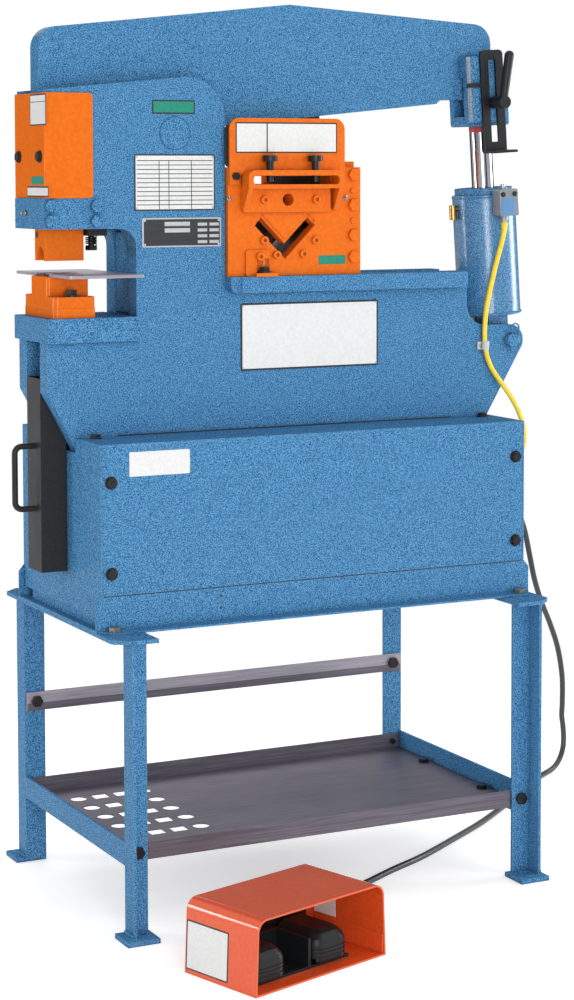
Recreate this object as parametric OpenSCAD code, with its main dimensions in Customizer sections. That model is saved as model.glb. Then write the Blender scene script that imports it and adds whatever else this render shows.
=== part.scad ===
// Ironworker. A rocking beam between two side plates pushes a punch ram down
// on the left and lifts a shear blade on the right. A hydraulic cylinder
// lifts the beam's right end. The machine stands on a cabinet and an
// angle-iron stand, and a foot switch on a cable starts the stroke.
// Millimetres, +Z up, the operator stands at -Y. The origin is on the floor
// at the centre of the four anchor holes.

/* [Stand] */
// Outside width across the legs
stand_w = 766; // [720:1:800]
// Outside depth across the legs
stand_d = 536; // [500:1:580]
// Height from the floor to the top of the side bars
stand_h = 488; // [440:1:540]
// Flange width of the angle-iron legs
leg_w = 38; // [32:1:44]
// Flange thickness of the angle-iron legs
leg_t = 5; // [4:0.5:7]
// Width of the side bars on top of the legs
side_bar_w = 73; // [68:1:84]
// Thickness of the side bars
side_bar_t = 6.5; // [6:0.5:10]
// Edge length of the square foot plates
foot_w = 56; // [54:1:70]
// Thickness of the foot plates
foot_t = 8; // [6:0.5:12]
// Radius of the anchor holes
anchor_r = 6; // [4:0.5:7]
// Height of the crossbars' underside
cross_z = 116.5; // [90:0.5:200]
// Height of the shelf's front and rear lips
shelf_lip_h = 29.5; // [24:0.5:44]
// Sheet thickness of the shelf
shelf_t = 2; // [1.5:0.1:3]
// Radius of the shelf's round tool holes
shelf_hole_r = 14.5; // [10:0.5:17]
// Edge length of the shelf's square tool holes
shelf_square = 28; // [20:1:32]
// Height of the rear rail's underside
rail_z = 273; // [230:1:330]
// Height of the rear rail
rail_h = 33; // [26:1:44]
// Thickness of the rear rail
rail_t = 4; // [3:0.5:6]

/* [Cabinet] */
// Width of the cabinet
cab_w = 800; // [780:1:812]
// Depth of the cabinet
cab_d = 362; // [330:1:380]
// Height of the cabinet above the stand
cab_h = 304; // [290:1:320]
// Sheet thickness of the cabinet and its tray
sheet_t = 3; // [2:0.5:4]
// Height of the tray's front and rear skirts
skirt_h = 58; // [50:1:70]
// Width of the tray's outside flanges
tray_flange = 31; // [26:1:36]
// Space round the side plates in the cabinet's top
slot_gap = 6; // [4:0.5:10]

/* [Side plates] */
// Thickness of each side plate
plate_t = 34; // [28:1:40]
// Space between the side plates
plate_gap = 64; // [58:1:70]
// Left edge of the side plates, from the centre
plate_left = 446; // [440:1:456]
// Depth of the punch throat from that edge
throat_d = 159; // [150:1:170]
// Height of the punch throat above the die table
throat_h = 146; // [138:1:156]
// Radius in the throat's upper corner
throat_r = 31; // [20:1:40]
// Height of the die table's top above the stand
table_h = 502; // [490:1:510]
// Thickness of the die table
table_t = 40; // [34:1:46]
// Depth of the die table
table_d = 160; // [150:1:176]
// Height of the shear bed above the stand
bed_h = 564; // [556:1:572]
// Right edge of the upper jaw, from the centre
jaw_x = 124; // [120:1:130]
// Right end of the shear bed, from the centre
bed_right = 351; // [340:1:356]
// Height of the bed bar
bed_bar_h = 27; // [22:1:34]
// How far the bed bar stands out
bed_bar_d = 24; // [20:1:28]

/* [Beam] */
// Pivot's place left of the centre
pivot_x = 216; // [206:1:224]
// Pivot's height above the stand
pivot_h = 806; // [800:1:812]
// Radius of the pivot pin
pivot_r = 26.5; // [22:0.5:30]
// Thickness of the beam
beam_t = 38; // [32:1:42]
// Left end of the beam, from the centre
beam_left = 439; // [432:1:446]
// Right end of the beam, from the centre
beam_right = 427; // [420:1:434]
// Height of the beam's ridge above the pivot
ridge_h = 223; // [210:1:236]
// Place of the ridge from the centre
ridge_x = 22; // [0:1:40]

/* [Punch station] */
// Punch axis left of the centre
punch_x = 398; // [394:1:402]
// Width of the ram
ram_w = 68; // [60:1:72]
// Depth of the ram
ram_d = 48; // [40:1:52]
// Height of the ram's lower end above the die table
ram_gap = 93; // [88:1:100]
// Height of the ram guide
guide_h = 51; // [44:1:58]
// Height of the punch cover
cover_h = 172; // [160:1:176]
// Width of the punch cover's sides
cover_w = 82; // [74:1:90]
// Thickness of the gauge table
gauge_t = 5; // [4:0.5:8]
// Width of the gauge table
gauge_w = 129; // [120:1:136]
// Depth of the gauge table
gauge_d = 256; // [230:1:280]

/* [Shear station] */
// Width of the shear's front plate
shear_w = 253; // [240:1:260]
// Height of the shear's front plate
shear_h = 185; // [180:1:192]
// Thickness of the shear's outer plates
shear_t = 24; // [20:1:26]
// Place of the angle opening's vertex from the centre
vee_x = -16; // [-20:1:-12]
// Height of the opening's middle line above the bed, at its vertex
vee_h = 42; // [40:1:46]
// Length of each leg of the angle opening
vee_leg = 72; // [66:1:78]
// Clear width of the angle opening
vee_gap = 19; // [15:0.5:20]
// Clear height of the flat-bar opening
flat_gap = 14; // [12:0.5:17]
// Radius of the round-bar opening
round_r = 10.5; // [7:0.5:11]
// Height of the guard plate above the front plate
guard_h = 83; // [74:1:88]

/* [Cylinder] */
// Clevis pin's place right of the centre
clevis_x = 441; // [437:1:444]
// Clevis pin's height above the stand
clevis_h = 438; // [432:1:442]
// Radius of the clevis pin
clevis_r = 12; // [10:0.5:13]
// Distance of the rod's upper pin from the pivot, along X
rod_arm = 630; // [626:1:636]
// Height of the rod's upper pin above the pivot
rod_rise = 64; // [60:1:70]
// Outside radius of the cylinder
barrel_r = 57; // [54:0.5:59]
// Bore radius of the cylinder
bore_r = 49; // [44:0.5:51]
// Radius of the piston rod
rod_r = 20; // [17:0.5:22]

/* [Foot switch] */
// Width of the foot guard
pedal_w = 272; // [268:1:290]
// Depth of the foot guard
pedal_d = 160; // [156:1:172]
// Height of the foot guard
pedal_h = 116; // [108:1:130]
// Bend radius of the foot guard
pedal_r = 20; // [14:1:26]
// Radius of the foot switch cable
cable_r = 5.5; // [4:0.5:6]
// Radius of the limit switch lead
lead_r = 4.5; // [3.5:0.5:5]

/* [Hidden] */
$fn = 48;

// Clearances
run = 0.05;
seat = 0.3;
slide = 0.5;
sink = 1;

// Colours
blue = "#4A86BE";
orange = "#F47B2A";
black = "#2B2B2D";
steel = "#8C888C";
chrome = "#D5D8DB";
zinc = "#8E949C";
yellow = "#F2C81E";

// Stand
leg_x = stand_w / 2;
leg_y = stand_d / 2;
leg_in_y = leg_y - leg_w;
anchor_x = leg_x - leg_w / 2 - 2;
anchor_y = leg_y - leg_w / 2 + 3;
shelf_z = cross_z + leg_t;
shelf_rows = 5;
shelf_columns = 4;
shelf_pitch_x = 41;
shelf_pitch_y = 63;
shelf_pattern_x = 72 - leg_x;
shelf_pattern_y = -96;
shelf_bolt_y = 105;
bar_chamfer = 25;
left_foot_out = 9;
right_foot_out = -2.5;
bolt_r = 5;
bolt_head_r = 10.5;
bolt_head_h = 7;
nut_h = 8;

// Cabinet
cab_x = cab_w / 2;
cab_y = cab_d / 2;
bar_out = 27;
tray_chamfer = 18;
skirt_chamfer = 12;
lip_t = 1.3;
lip_lap = 6;
bar_x = leg_x + bar_out;
tray_x = max(cab_x + 8, bar_x);
tray_y = cab_y + tray_flange;
z_tray = stand_h + sheet_t;
z_skirt = stand_h + skirt_h;
z_cab = stand_h + cab_h;
end_gap = 20;
return_w = 34;
base_bolt_x = leg_x;
base_bolt_y = cab_y + tray_flange / 2;
panel_bolt_x = cab_x - 18;
panel_bolt_low = 36;
panel_bolt_high = 62;
notch_h = 24;
notch_gap = 10;

// Side plates
y_in = plate_gap / 2;
y_out = y_in + plate_t;
z_table = stand_h + table_h;
knee_drop = 123;
z_knee = z_table - knee_drop;
z_throat = z_table + throat_h;
z_guide = z_throat + guide_h;
z_pivot = stand_h + pivot_h;
z_bed = stand_h + bed_h;
throat_x = throat_d - plate_left;
plate_foot_x = 320;
plate_foot_out = cab_x - sheet_t - 2;
top_bolt_y = y_out + slot_gap + 16;
plate_arch_h = 152;
plate_slope = 0.541;
z_notch = min(z_cab - notch_h, z_knee - (plate_left - cab_x) / plate_slope - notch_gap);
plate_top_left = 70;
plate_top_right = 94;
plate_corner_r = 70;
z_clevis = stand_h + clevis_h;
lobe_r = clevis_r + 16;
bed_fillet_r = 40;
web_t = 28;

// Beam and ram
ram_arm = punch_x - pivot_x;
nose_r = 20;
neck_h = 30;
jaw_gap = 58;
beam_corner_r = 36;
z_beam_left = z_pivot + 176;
z_beam_right = z_pivot + 199;
beam_under = 24;
beam_under_slope = 0.1;
hub_r = pivot_r + 43;
head_top = 46;
head_slot = nose_r * 2 + 2 * seat;
z_ram = z_table + ram_gap;
socket_r = 14;
socket_depth = 44;
window_w = 36;
window_h = 24;

// Punch station
guide_w = 96;
guide_bolt_x = 40;
guide_bolt_low = 13;
guide_bolt_high = 38;
guide_bolt_r = 5;
cover_bolt_z = 68;
cover_bolt_r = 4;
cover_t = 3;
cover_corner_r = 7;
jaw_out = 5;
y_plate_mid = y_in + plate_t / 2;
die_x = 37;
die_base_h = 16;
die_flange_h = 19;
die_block_h = 32;
die_flange_d = 71;
die_block_d = 39;
die_bolt_y = 55;
die_r = 24;
slug_r = 20;
notch_d = 31;
z_flange = z_table + die_base_h;
z_block = z_flange + die_flange_h;
z_gauge = z_block + die_block_h;
z_work = z_gauge + gauge_t;
stripper_h = 12;
stripper_bolt_r = 5;
stripper_head_r = 10.5;
stripper_head_h = 8;
spring_length = 17;
spring_mean_r = 9;
spring_wire_r = 1.1;
spring_turns = 4;
stripper_x = ram_w / 2 + 23 - punch_x;
stripper_lift = 6;
stripper_y = y_in + 12;
z_stripper = z_throat - stripper_h;
z_head = z_stripper - spring_length;
spring_gap = 0.1;
// The spring's ends run straight up and down for one wire diameter
spring_rise = spring_length - 4 * spring_wire_r - 2 * spring_gap;
spring_path = concat(
    [[spring_mean_r, 0, 0]],
    [for (i = [0 : 8 * spring_turns]) let (a = 45 * i, t = i / (8 * spring_turns))
        [spring_mean_r * cos(a), spring_mean_r * sin(a), 2 * spring_wire_r + t * spring_rise]],
    [[spring_mean_r, 0, spring_rise + 4 * spring_wire_r]]);
spring_self_gap = min([for (i = [1 : len(spring_path) - 2]) for (j = [i + 5 : 1 : len(spring_path) - 2])
    norm(spring_path[i] - spring_path[j]) - 2 * spring_wire_r]);

// Shear station
shear_x = shear_w / 2 + 2 - jaw_x - 1;
y_shear = y_out + 10;
y_shear_in = y_shear - shear_t;
shear_left = shear_x - shear_w / 2;
shear_right = shear_x + shear_w / 2;
z_shear = z_bed + shear_h;
z_vee = z_bed + vee_h;
flat_w = 163;
flat_z = 156;
flat_x = -9.5;
slot_w = 60;
slot_x = -17.5;
vee_relief = 7;
vee_relief_t = 2.5;
z_flat = z_bed + flat_z;
round_x = -15.5;
z_round = z_bed + 130;
spacer_w = 24;
spacer_top = 10;
holder_w = 160;
blade_w = 25;
blade_edge = vee_gap / sqrt(2);
hold_y = 16;
bracket_t = 12;
bracket_reach = 34;
bracket_wall = 9;
bracket_round = 12;
bracket_h = 47;
bracket_bar = 9;
hold_r = 6;
hold_head_r = 12.5;
hold_head_h = 10;
hold_xs = [flat_x - 43, flat_x + 43];
hold_lift = 4;
y_bracket = y_shear + bracket_t;
y_reach = y_shear + bracket_reach;
y_hold = -(y_reach - hold_y);
guard_t = 5;
guard_r = 19;
shear_bolt_zs = [30, 68, 120, 172];
shear_screw_zs = [93, 145];
shear_bolt_x = shear_right - 14;
blade_screws = [[-41, 19], [57, 18], [-17, -6], [34, -5]];
pad_x = [vee_x - 76, vee_x - 32];
pad_t = 5;
pad_h = 45;
pad_screw = [vee_x - 51, z_vee - 8];
tab_x = vee_x - 42;
tab_t = 6;
y_tab = y_out + bed_bar_d / 2 + 4;
guard_bolt = [shear_left + 12, z_shear - 15];
bracket_screw_xs = [round_x - 46, round_x + 52];

// Cylinder, measured along its own axis from the clevis pin
rod_pin_x = rod_arm - pivot_x;
z_rod_pin = z_pivot + rod_rise;
cylinder_tilt = atan2(clevis_x - rod_pin_x, z_rod_pin - z_clevis);
rod_pin_s = norm([clevis_x - rod_pin_x, z_rod_pin - z_clevis]);
eye_r = clevis_r + 15;
clip_y = y_out + 7;
clip_r = 1.5;
clip_bend = (clevis_r + 1.5 + clip_r) / 2;
barrel_foot = 44;
barrel_cap = 12;
barrel_top = 262;
gland_h = 12;
gland_plug = 12;
piston_s = 108;
piston_h = 30;
fork_w = 86;
fork_foot = rod_pin_s - 47;
fork_top = rod_pin_s + 30;
fork_slot = rod_pin_s - 29;
rod_pin_r = 14;
open_play = 2.6;
tongue_r = 26;
y_fork = y_in - 1;
y_rail = y_fork + seat + 0.7;
rail_depth = 14;
y_stop = y_rail + rail_depth;
stop_half = 23;
stop_t = 6;
stop_foot = 337;
stop_top = 521;
stop_slot = [357, 504];
stop_slot_r = 7.5;
stop_reach = 36;
rail_left = 50;
rail_right = 16;
rail_foot = 393;
rail_top = 511;
stud_s = 427;
stud_r = 5;
lever_hub_r = 11;
lever_hub_l = 40;
lever_arm = 84;
lever_lean = 12;
switch_s = [224, 272];
switch_half = 19;
switch_d = 26;
y_switch = barrel_r + 5;
plunger_u = -4;
plunger_r = 4;
plunger_out = 9;
breather_s = 240;

// Slug chute
chute_left = plate_left;
chute_y = y_in - 1;
chute_t = 2;
chute_drop = 101;
chute_low = 78;
hopper_right = punch_x - 46;
hook_z = 112;
hook_y = 18;
hook_h = 6;
hook_slot_h = 45;
handle_r = 5;
handle_out = 34;
handle_z = [182, 287];
handle_bend = 12;

// Power unit
motor_r = 60;
motor_x = [-230, 20];
pump_x = 90;
pump_r = 40;
tank_x = 290;
tank_y = 110;
tank_h = 124;
z_motor = z_tray + motor_r + 10;

// Foot switch
pedal_corner = [-314, -579, 0];
pedal_turn = 17.5;
pedal_t = 3;
guard_flare = 4;
switch_front = 31;
switch_sides = [5, 224];
wall_u = [136, 141];
treadle_w = 75;
treadle_front = 22;
treadle_lip = [11.5, 28];
treadle_us = [10, 143];
treadle_low = 15.5;
treadle_ribs = [[0, 4, 1.5], [4, 8, 0], [8, 10, 1.5], [10, 14, 0], [14, 16, 1.5], [16, 22, 0]];
treadle_crown = [[22, 0], [30, 3], [37, 9], [42, 17]];
treadle_round = 20;
hinge_v = 112;
hinge_w = 32;
hinge_r = 4;
pedal_gland_u = 190;

// Points in the leaning cylinder's frame and in the foot switch's frame
function cylinder_point(u, y, s) = [clevis_x + u * cos(cylinder_tilt) - s * sin(cylinder_tilt), y,
    z_clevis + u * sin(cylinder_tilt) + s * cos(cylinder_tilt)];
function pedal_point(u, v, w) = pedal_corner
    + [u * cos(pedal_turn) - v * sin(pedal_turn), u * sin(pedal_turn) + v * cos(pedal_turn), w];

// Cords, as points along their middles, with straight ends at their glands
gland_r = 10;
gland_l = 16;
cable_gland = [120, stand_h + 152];
lead_gland = [-96, stand_h + 220];
lead_plug = 4;
lead_bend = 41;
gland_w = 30;
gland_out = pedal_d + 18;
drop = cable_gland[1] / 640;
cable_route = concat(
    [for (p = [[0, 0, 640], [24, 0, 640], [48.9, 2.3, 639.7], [81.1, 14.4, 637.6], [124.7, 51.3, 627.4],
        [180.4, 91.1, 603.8], [229.7, 123, 570.3], [264.9, 145, 526], [285.9, 156.5, 470], [305.2, 167, 414],
        [331.5, 181.4, 362], [363.1, 198.7, 313], [392.9, 215, 257], [410.5, 224.6, 194.1], [413.1, 227.1, 140.3],
        [413.3, 229.3, 111.3], [416.6, 229.6, 88.5], [417.4, 228.1, 63.8], [413.4, 224.6, 43.7],
        [404.4, 219.9, 27.3], [391.2, 213.8, 15]])
        [cab_x + gland_l + p[0], cable_gland[0] + p[1], p[2] * drop]],
    [[791.1, 326.5, 8], [772.4, 316.3, 6], [744.5, 296.5, 6], [725.2, 280.3, 6], [650.1, 214.6, 6], [480, 75, 6],
        [368, -4, 6], [256, -78, 6], [168, -125, 6], [41, -196, 6], [-77, -236, 6]],
    [for (p = [[95, 85.1, 6.3], [67.4, 90.4, 9.3], [44.7, 88.4, 14.7], [25.7, 79.5, 20], [11.3, 64.8, 24.8],
        [2.8, 45.6, 28.4], [0, 24, 29.9], [0, seat, gland_w]])
        pedal_point(pedal_gland_u + p[0], gland_out + p[1], p[2])]);
lead_u = -5;
lead_s = switch_s[0] - 9;
y_lead = -y_switch - switch_d / 2;
lead_x = cab_x + lead_plug + 9;
lead_low = lead_gland[1] + lead_bend;
lead_top = cylinder_point(lead_u, y_lead, lead_s - 12);
lead_shift = lead_top[0] - cab_x - 23.35;
// Sideways from the cabinet's end, across, and share of the height between the bend and the switch
lead_way = [[21.5, -75, 0.9676], [18.5, -75, 0.9360], [14.5, -75, 0.9017], [10.5, -75, 0.8674], [6.5, -75, 0.8332],
    [2.5, -75, 0.7962], [-2, -75, 0.7514], [-7, -74, 0.6961], [-11.5, -73, 0.6354], [-14.5, -72, 0.5616],
    [-15.5, -72, 0.4904], [-13.5, -72, 0.4298], [-8, -72, 0.3770], [1, -72.5, 0.3296], [13, -75, 0.2821],
    [25, -79.5, 0.2347], [36, -85, 0.1846], [45, -90, 0.1318], [51, -94, 0.0791], [53.5, -96, 0.0343]];
lead_route = concat([cylinder_point(lead_u, y_lead, lead_s - seat), lead_top],
    [for (p = lead_way) [cab_x + p[0] + p[2] * lead_shift, p[1], lead_low + p[2] * (lead_top[2] - lead_low)]],
    [for (a = [0 : 15 : 90])
        [lead_x + lead_bend * cos(a), lead_gland[0], lead_gland[1] + lead_bend * (1 - sin(a))]],
    [[cab_x + lead_plug, lead_gland[0], lead_gland[1]]]);
hose_r = 7;
hose_u = -38;
hose_x = 60;
z_hose = z_motor + pump_r + 2;
hose_end = cylinder_point(hose_u, 0, barrel_foot - seat);
hose_way = [[0.003, 0.118], [0.029, 0.239], [0.112, 0.360], [0.264, 0.464], [0.529, 0.557], [0.705, 0.607],
    [0.852, 0.684], [0.940, 0.777], [0.983, 0.870]];
hose_route = concat([[hose_x, 0, z_hose], [hose_x, 0, z_hose + 19]],
    [for (f = hose_way) [hose_x + f[0] * (hose_end[0] - hose_x), 0, z_hose + f[1] * (hose_end[2] - z_hose)]],
    [cylinder_point(hose_u, 0, barrel_foot - 18), hose_end]);

// A point between p1 and p2 of a smooth curve through four points
function curve_point(p0, p1, p2, p3, t) = 0.5 * (2 * p1 + (p2 - p0) * t
    + (2 * p0 - 5 * p1 + 4 * p2 - p3) * t * t + (3 * p1 - p0 - 3 * p2 + p3) * t * t * t);

// Points of a smooth curve through a route, about one step apart
function curve(route, step) = concat([for (i = [0 : len(route) - 2])
    let (count = max(1, round(norm(route[i + 1] - route[i]) / step)))
    for (k = [0 : count - 1])
        curve_point(route[max(i - 1, 0)], route[i], route[i + 1],
            route[min(i + 2, len(route) - 1)], k / count)], [route[len(route) - 1]]);

function unit(v) = v / norm(v);

// Directions along a path, and directions square to it that turn as little as they can
function tangents(path) = [for (i = [0 : len(path) - 1])
    unit(path[min(i + 1, len(path) - 1)] - path[max(i - 1, 0)])];
function normals(along, i, last) = i == len(along) ? [] :
    let (n = unit(last - (last * along[i]) * along[i])) concat([n], normals(along, i + 1, n));

// Round tube along a path
module tube(path, r, sides) {
    along = tangents(path);
    square_to = normals(along, 0, [0.28, 0.9, 0.33]);
    last = len(path) - 1;
    points = [for (i = [0 : last]) for (k = [0 : sides - 1])
        path[i] + r * (cos(360 * k / sides) * square_to[i]
            + sin(360 * k / sides) * cross(along[i], square_to[i]))];
    walls = [for (i = [0 : last - 1]) for (k = [0 : sides - 1])
        let (a = i * sides + k, b = i * sides + (k + 1) % sides)
        each [[a, b + sides, b], [a, a + sides, b + sides]]];
    caps = [for (k = [1 : sides - 2])
        each [[0, k, k + 1], [last * sides, last * sides + k + 1, last * sides + k]]];
    polyhedron(points, concat(walls, caps));
}

// Shape drawn in X and Z, extruded from y0 to y1
module slab(y0, y1) {
    translate([0, y1, 0]) rotate([90, 0, 0]) linear_extrude(y1 - y0) children();
}

// The same slab in front and its mirror image behind
module both_sides() {
    children();
    mirror([0, 1, 0]) children();
}

module box(low, high) {
    translate(low) cube(high - low);
}

module flat(low, high) {
    translate(low) square(high - low);
}

// Flat rectangle with round corners
module round_flat(low, high, r) {
    flat(low + [r, 0], high - [r, 0]);
    flat(low + [0, r], high - [0, r]);
    for (x = [low[0] + r, high[0] - r], z = [low[1] + r, high[1] - r])
        translate([x, z]) circle(r);
}

module rod_y(x, z, r, y0, y1) {
    translate([x, y0, z]) rotate([-90, 0, 0]) cylinder(r = r, h = y1 - y0);
}

module rod_x(y, z, r, x0, x1) {
    translate([x0, y, z]) rotate([0, 90, 0]) cylinder(r = r, h = x1 - x0);
}

module rod_z(x, y, r, z0, z1) {
    translate([x, y, z0]) cylinder(r = r, h = z1 - z0);
}

// Bolts that point along +Y or -Y, +X, or down, with the head outside the given face
module bolt(head_r, head_h, shank_r, shank_l, sides = 6) {
    translate([0, 0, -head_h]) cylinder(r = head_r, h = head_h, $fn = sides);
    translate([0, 0, -head_h / 2]) cylinder(r = shank_r, h = shank_l + head_h / 2);
}

module at_y(x, y, z, way = 1) {
    translate([x, y, z]) rotate([-90 * way, 0, 0]) children();
}

module at_x(x, y, z, way = 1) {
    translate([x, y, z]) rotate([0, 90 * way, 0]) children();
}

module at_top(x, y, z) {
    translate([x, y, z]) rotate([180, 0, 0]) children();
}

// Frames of the leaning cylinder and of the turned foot switch
module on_cylinder() {
    translate([clevis_x, 0, z_clevis]) rotate([0, -cylinder_tilt, 0]) children();
}

module on_pedal() {
    translate(pedal_corner) rotate([0, 0, pedal_turn]) children();
}

// Stand
module leg() {
    top = stand_h - side_bar_t + sink;
    box([-leg_x, -leg_y, foot_t - sink], [leg_t - leg_x, -leg_in_y, top]);
    box([-leg_x, -leg_in_y - leg_t, foot_t - sink], [leg_w - leg_x, -leg_in_y, top]);
}

module foot_plate(out) {
    x = leg_x - leg_w / 2 + out;
    y = leg_y - leg_w + foot_w / 2;
    difference() {
        box([-x - foot_w / 2, -y - foot_w / 2, 0], [foot_w / 2 - x, foot_w / 2 - y, foot_t]);
        rod_z(-anchor_x, -anchor_y, anchor_r, -sink, foot_t + sink);
    }
}

module side_bar() {
    left = -bar_x;
    right = left + side_bar_w;
    end = leg_y;
    difference() {
        translate([0, 0, stand_h - side_bar_t]) linear_extrude(side_bar_t)
            polygon([[left + bar_chamfer, -end], [right, -end], [right, end], [left + bar_chamfer, end],
                [left, end - bar_chamfer], [left, bar_chamfer - end]]);
        for (way = [-1, 1])
            rod_z(-base_bolt_x, way * base_bolt_y, bolt_r + run, stand_h - side_bar_t - sink, stand_h + sink);
    }
}

module stand_hole_cuts() {
    x = leg_x - leg_w / 2 - 2;
    for (way = [-1, 1])
        rod_y(-x, shelf_z + shelf_lip_h / 2, bolt_r + run, way * leg_in_y - leg_t - sink, way * leg_in_y + leg_t + sink);
    rod_y(-x, rail_z + rail_h / 2, bolt_r + run, leg_in_y - rail_t - sink, leg_in_y + leg_t + sink);
    for (way = [-1, 1])
        rod_z(-x, way * shelf_bolt_y, bolt_r + run, cross_z - sink, shelf_z + shelf_t + sink);
}

module leg_frame(foot_out) {
    difference() {
        union() {
            both_sides() {
                leg();
                foot_plate(foot_out);
            }
            side_bar();
            box([-leg_x, -leg_in_y - sink, cross_z], [leg_t - leg_x, leg_in_y + sink, cross_z + leg_w]);
            box([-leg_x, -leg_in_y - sink, cross_z], [leg_w - leg_x, leg_in_y + sink, cross_z + leg_t]);
        }
        stand_hole_cuts();
    }
}

module left_leg_frame() {
    color(blue) leg_frame(left_foot_out);
}

module right_leg_frame() {
    color(blue) mirror([1, 0, 0]) leg_frame(right_foot_out);
}

module rear_rail() {
    reach = leg_x - leg_t / 2;
    color(steel) difference() {
        box([-reach, leg_in_y - rail_t, rail_z], [reach, leg_in_y, rail_z + rail_h]);
        stand_hole_cuts();
        mirror([1, 0, 0]) stand_hole_cuts();
    }
}

module shelf_tray() {
    reach = leg_x - leg_t - slide;
    color(steel) difference() {
        union() {
            box([-reach, -leg_in_y, shelf_z], [reach, leg_in_y, shelf_z + shelf_t]);
            both_sides() box([-reach, -leg_in_y, shelf_z], [reach, shelf_t - leg_in_y, shelf_z + shelf_lip_h]);
        }
        for (row = [0 : shelf_rows - 1], column = [0 : shelf_columns - 1])
            translate([shelf_pattern_x + column * shelf_pitch_x, shelf_pattern_y + row * shelf_pitch_y, shelf_z - sink])
                if (column == 0 || column == shelf_columns - 1)
                    cylinder(r = shelf_hole_r, h = shelf_t + 2 * sink);
                else
                    translate([-shelf_square / 2, -shelf_square / 2, 0])
                        cube([shelf_square, shelf_square, shelf_t + 2 * sink]);
        stand_hole_cuts();
        mirror([1, 0, 0]) stand_hole_cuts();
    }
}

module nut() {
    difference() {
        cylinder(r = bolt_head_r, h = nut_h, $fn = 6);
        translate([0, 0, -sink]) cylinder(r = bolt_r + run, h = nut_h + 2 * sink);
    }
}

module stand_bolts() {
    x = leg_x - leg_w / 2 - 2;
    color(black) for (side = [-1, 1]) {
        for (way = [-1, 1]) {
            at_top(side * base_bolt_x, way * base_bolt_y, z_tray)
                bolt(bolt_head_r, bolt_head_h, bolt_r, sheet_t + side_bar_t + nut_h + 3);
            translate([side * base_bolt_x, way * base_bolt_y, stand_h - side_bar_t - nut_h]) nut();
            at_y(side * x, way * (leg_in_y + leg_t), shelf_z + shelf_lip_h / 2, -way)
                bolt(bolt_head_r, bolt_head_h, bolt_r, leg_t + shelf_t + 6);
            at_top(side * x, way * shelf_bolt_y, shelf_z + shelf_t)
                bolt(bolt_head_r, bolt_head_h, bolt_r, shelf_t + leg_t + 4);
        }
        at_y(side * x, leg_in_y - rail_t, rail_z + rail_h / 2)
            bolt(bolt_head_r, bolt_head_h, bolt_r, rail_t + leg_t + 6);
    }
}

// Cabinet
module base_tray() {
    color(blue) difference() {
        union() {
            translate([0, 0, stand_h]) linear_extrude(sheet_t)
                polygon([[-tray_x, -cab_y], [tray_chamfer - tray_x, -tray_y], [tray_x - tray_chamfer, -tray_y],
                    [tray_x, -cab_y], [tray_x, cab_y], [tray_x - tray_chamfer, tray_y],
                    [tray_chamfer - tray_x, tray_y], [-tray_x, cab_y]]);
            both_sides() slab(-cab_y, sheet_t - cab_y)
                polygon([[-tray_x, stand_h], [tray_x, stand_h], [tray_x, z_skirt - skirt_chamfer],
                    [cab_x, z_skirt], [-cab_x, z_skirt], [-tray_x, z_skirt - skirt_chamfer]]);
            for (side = [0, 1]) mirror([side, 0, 0])
                box([sheet_t + seat - cab_x, -cab_y + return_w, stand_h + sink],
                    [sheet_t + seat + lip_t - cab_x, cab_y - return_w, stand_h + end_gap + lip_lap]);
        }
        for (side = [-1, 1], way = [-1, 1])
            rod_z(side * base_bolt_x, way * base_bolt_y, bolt_r + run, stand_h - sink, z_tray + sink);
    }
}

module panel_bolt_cuts() {
    for (side = [-1, 1]) {
        for (z = [z_skirt + panel_bolt_low, z_cab - panel_bolt_high])
            rod_y(side * panel_bolt_x, z, bolt_r + run, -cab_y - sink, 3 * sheet_t - cab_y);
        rod_z(side * (cab_x - 30), -top_bolt_y, bolt_r + run, z_cab - 2 * sheet_t, z_cab + sink);
    }
}

module cabinet_shell() {
    inner = cab_x - sheet_t;
    color(blue) difference() {
        union() {
            box([-cab_x, -cab_y, z_cab - sheet_t], [cab_x, cab_y, z_cab]);
            for (side = [0, 1]) mirror([side, 0, 0]) {
                box([-cab_x, -cab_y, stand_h + end_gap], [-inner, cab_y, z_cab]);
                box([-inner - sink, sheet_t - cab_y, z_skirt], [return_w - inner, 2 * sheet_t - cab_y, z_cab - sheet_t + sink]);
            }
            box([-cab_x, cab_y - sheet_t, z_skirt], [cab_x, cab_y, z_cab]);
        }
        // The side plates pass through the top and the left end's upper edge
        box([-cab_x - sink, -y_out - slot_gap, z_cab - 2 * sheet_t], [inner, y_out + slot_gap, z_cab + sink]);
        box([-cab_x - sink, -y_out - slot_gap, z_notch], [-inner + sink, y_out + slot_gap, z_cab + sink]);
        // The skirts' upright ends stand in the lower corners
        both_sides() for (side = [0, 1]) mirror([side, 0, 0])
            box([-cab_x - sink, -cab_y - sink, stand_h], [sink - inner, sheet_t - cab_y + slide, z_skirt]);
        for (y = [-hook_y, hook_y])
            box([-cab_x - sink, y - hook_h / 2 - slide, stand_h + hook_z],
                [sink - inner, y + hook_h / 2 + slide, stand_h + hook_z + hook_slot_h]);
        panel_bolt_cuts();
    }
}

module front_panel() {
    reach = cab_x - sheet_t - slide;
    color(blue) difference() {
        box([-reach, -cab_y, z_skirt], [reach, sheet_t - cab_y, z_cab - sheet_t]);
        panel_bolt_cuts();
    }
}

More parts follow.
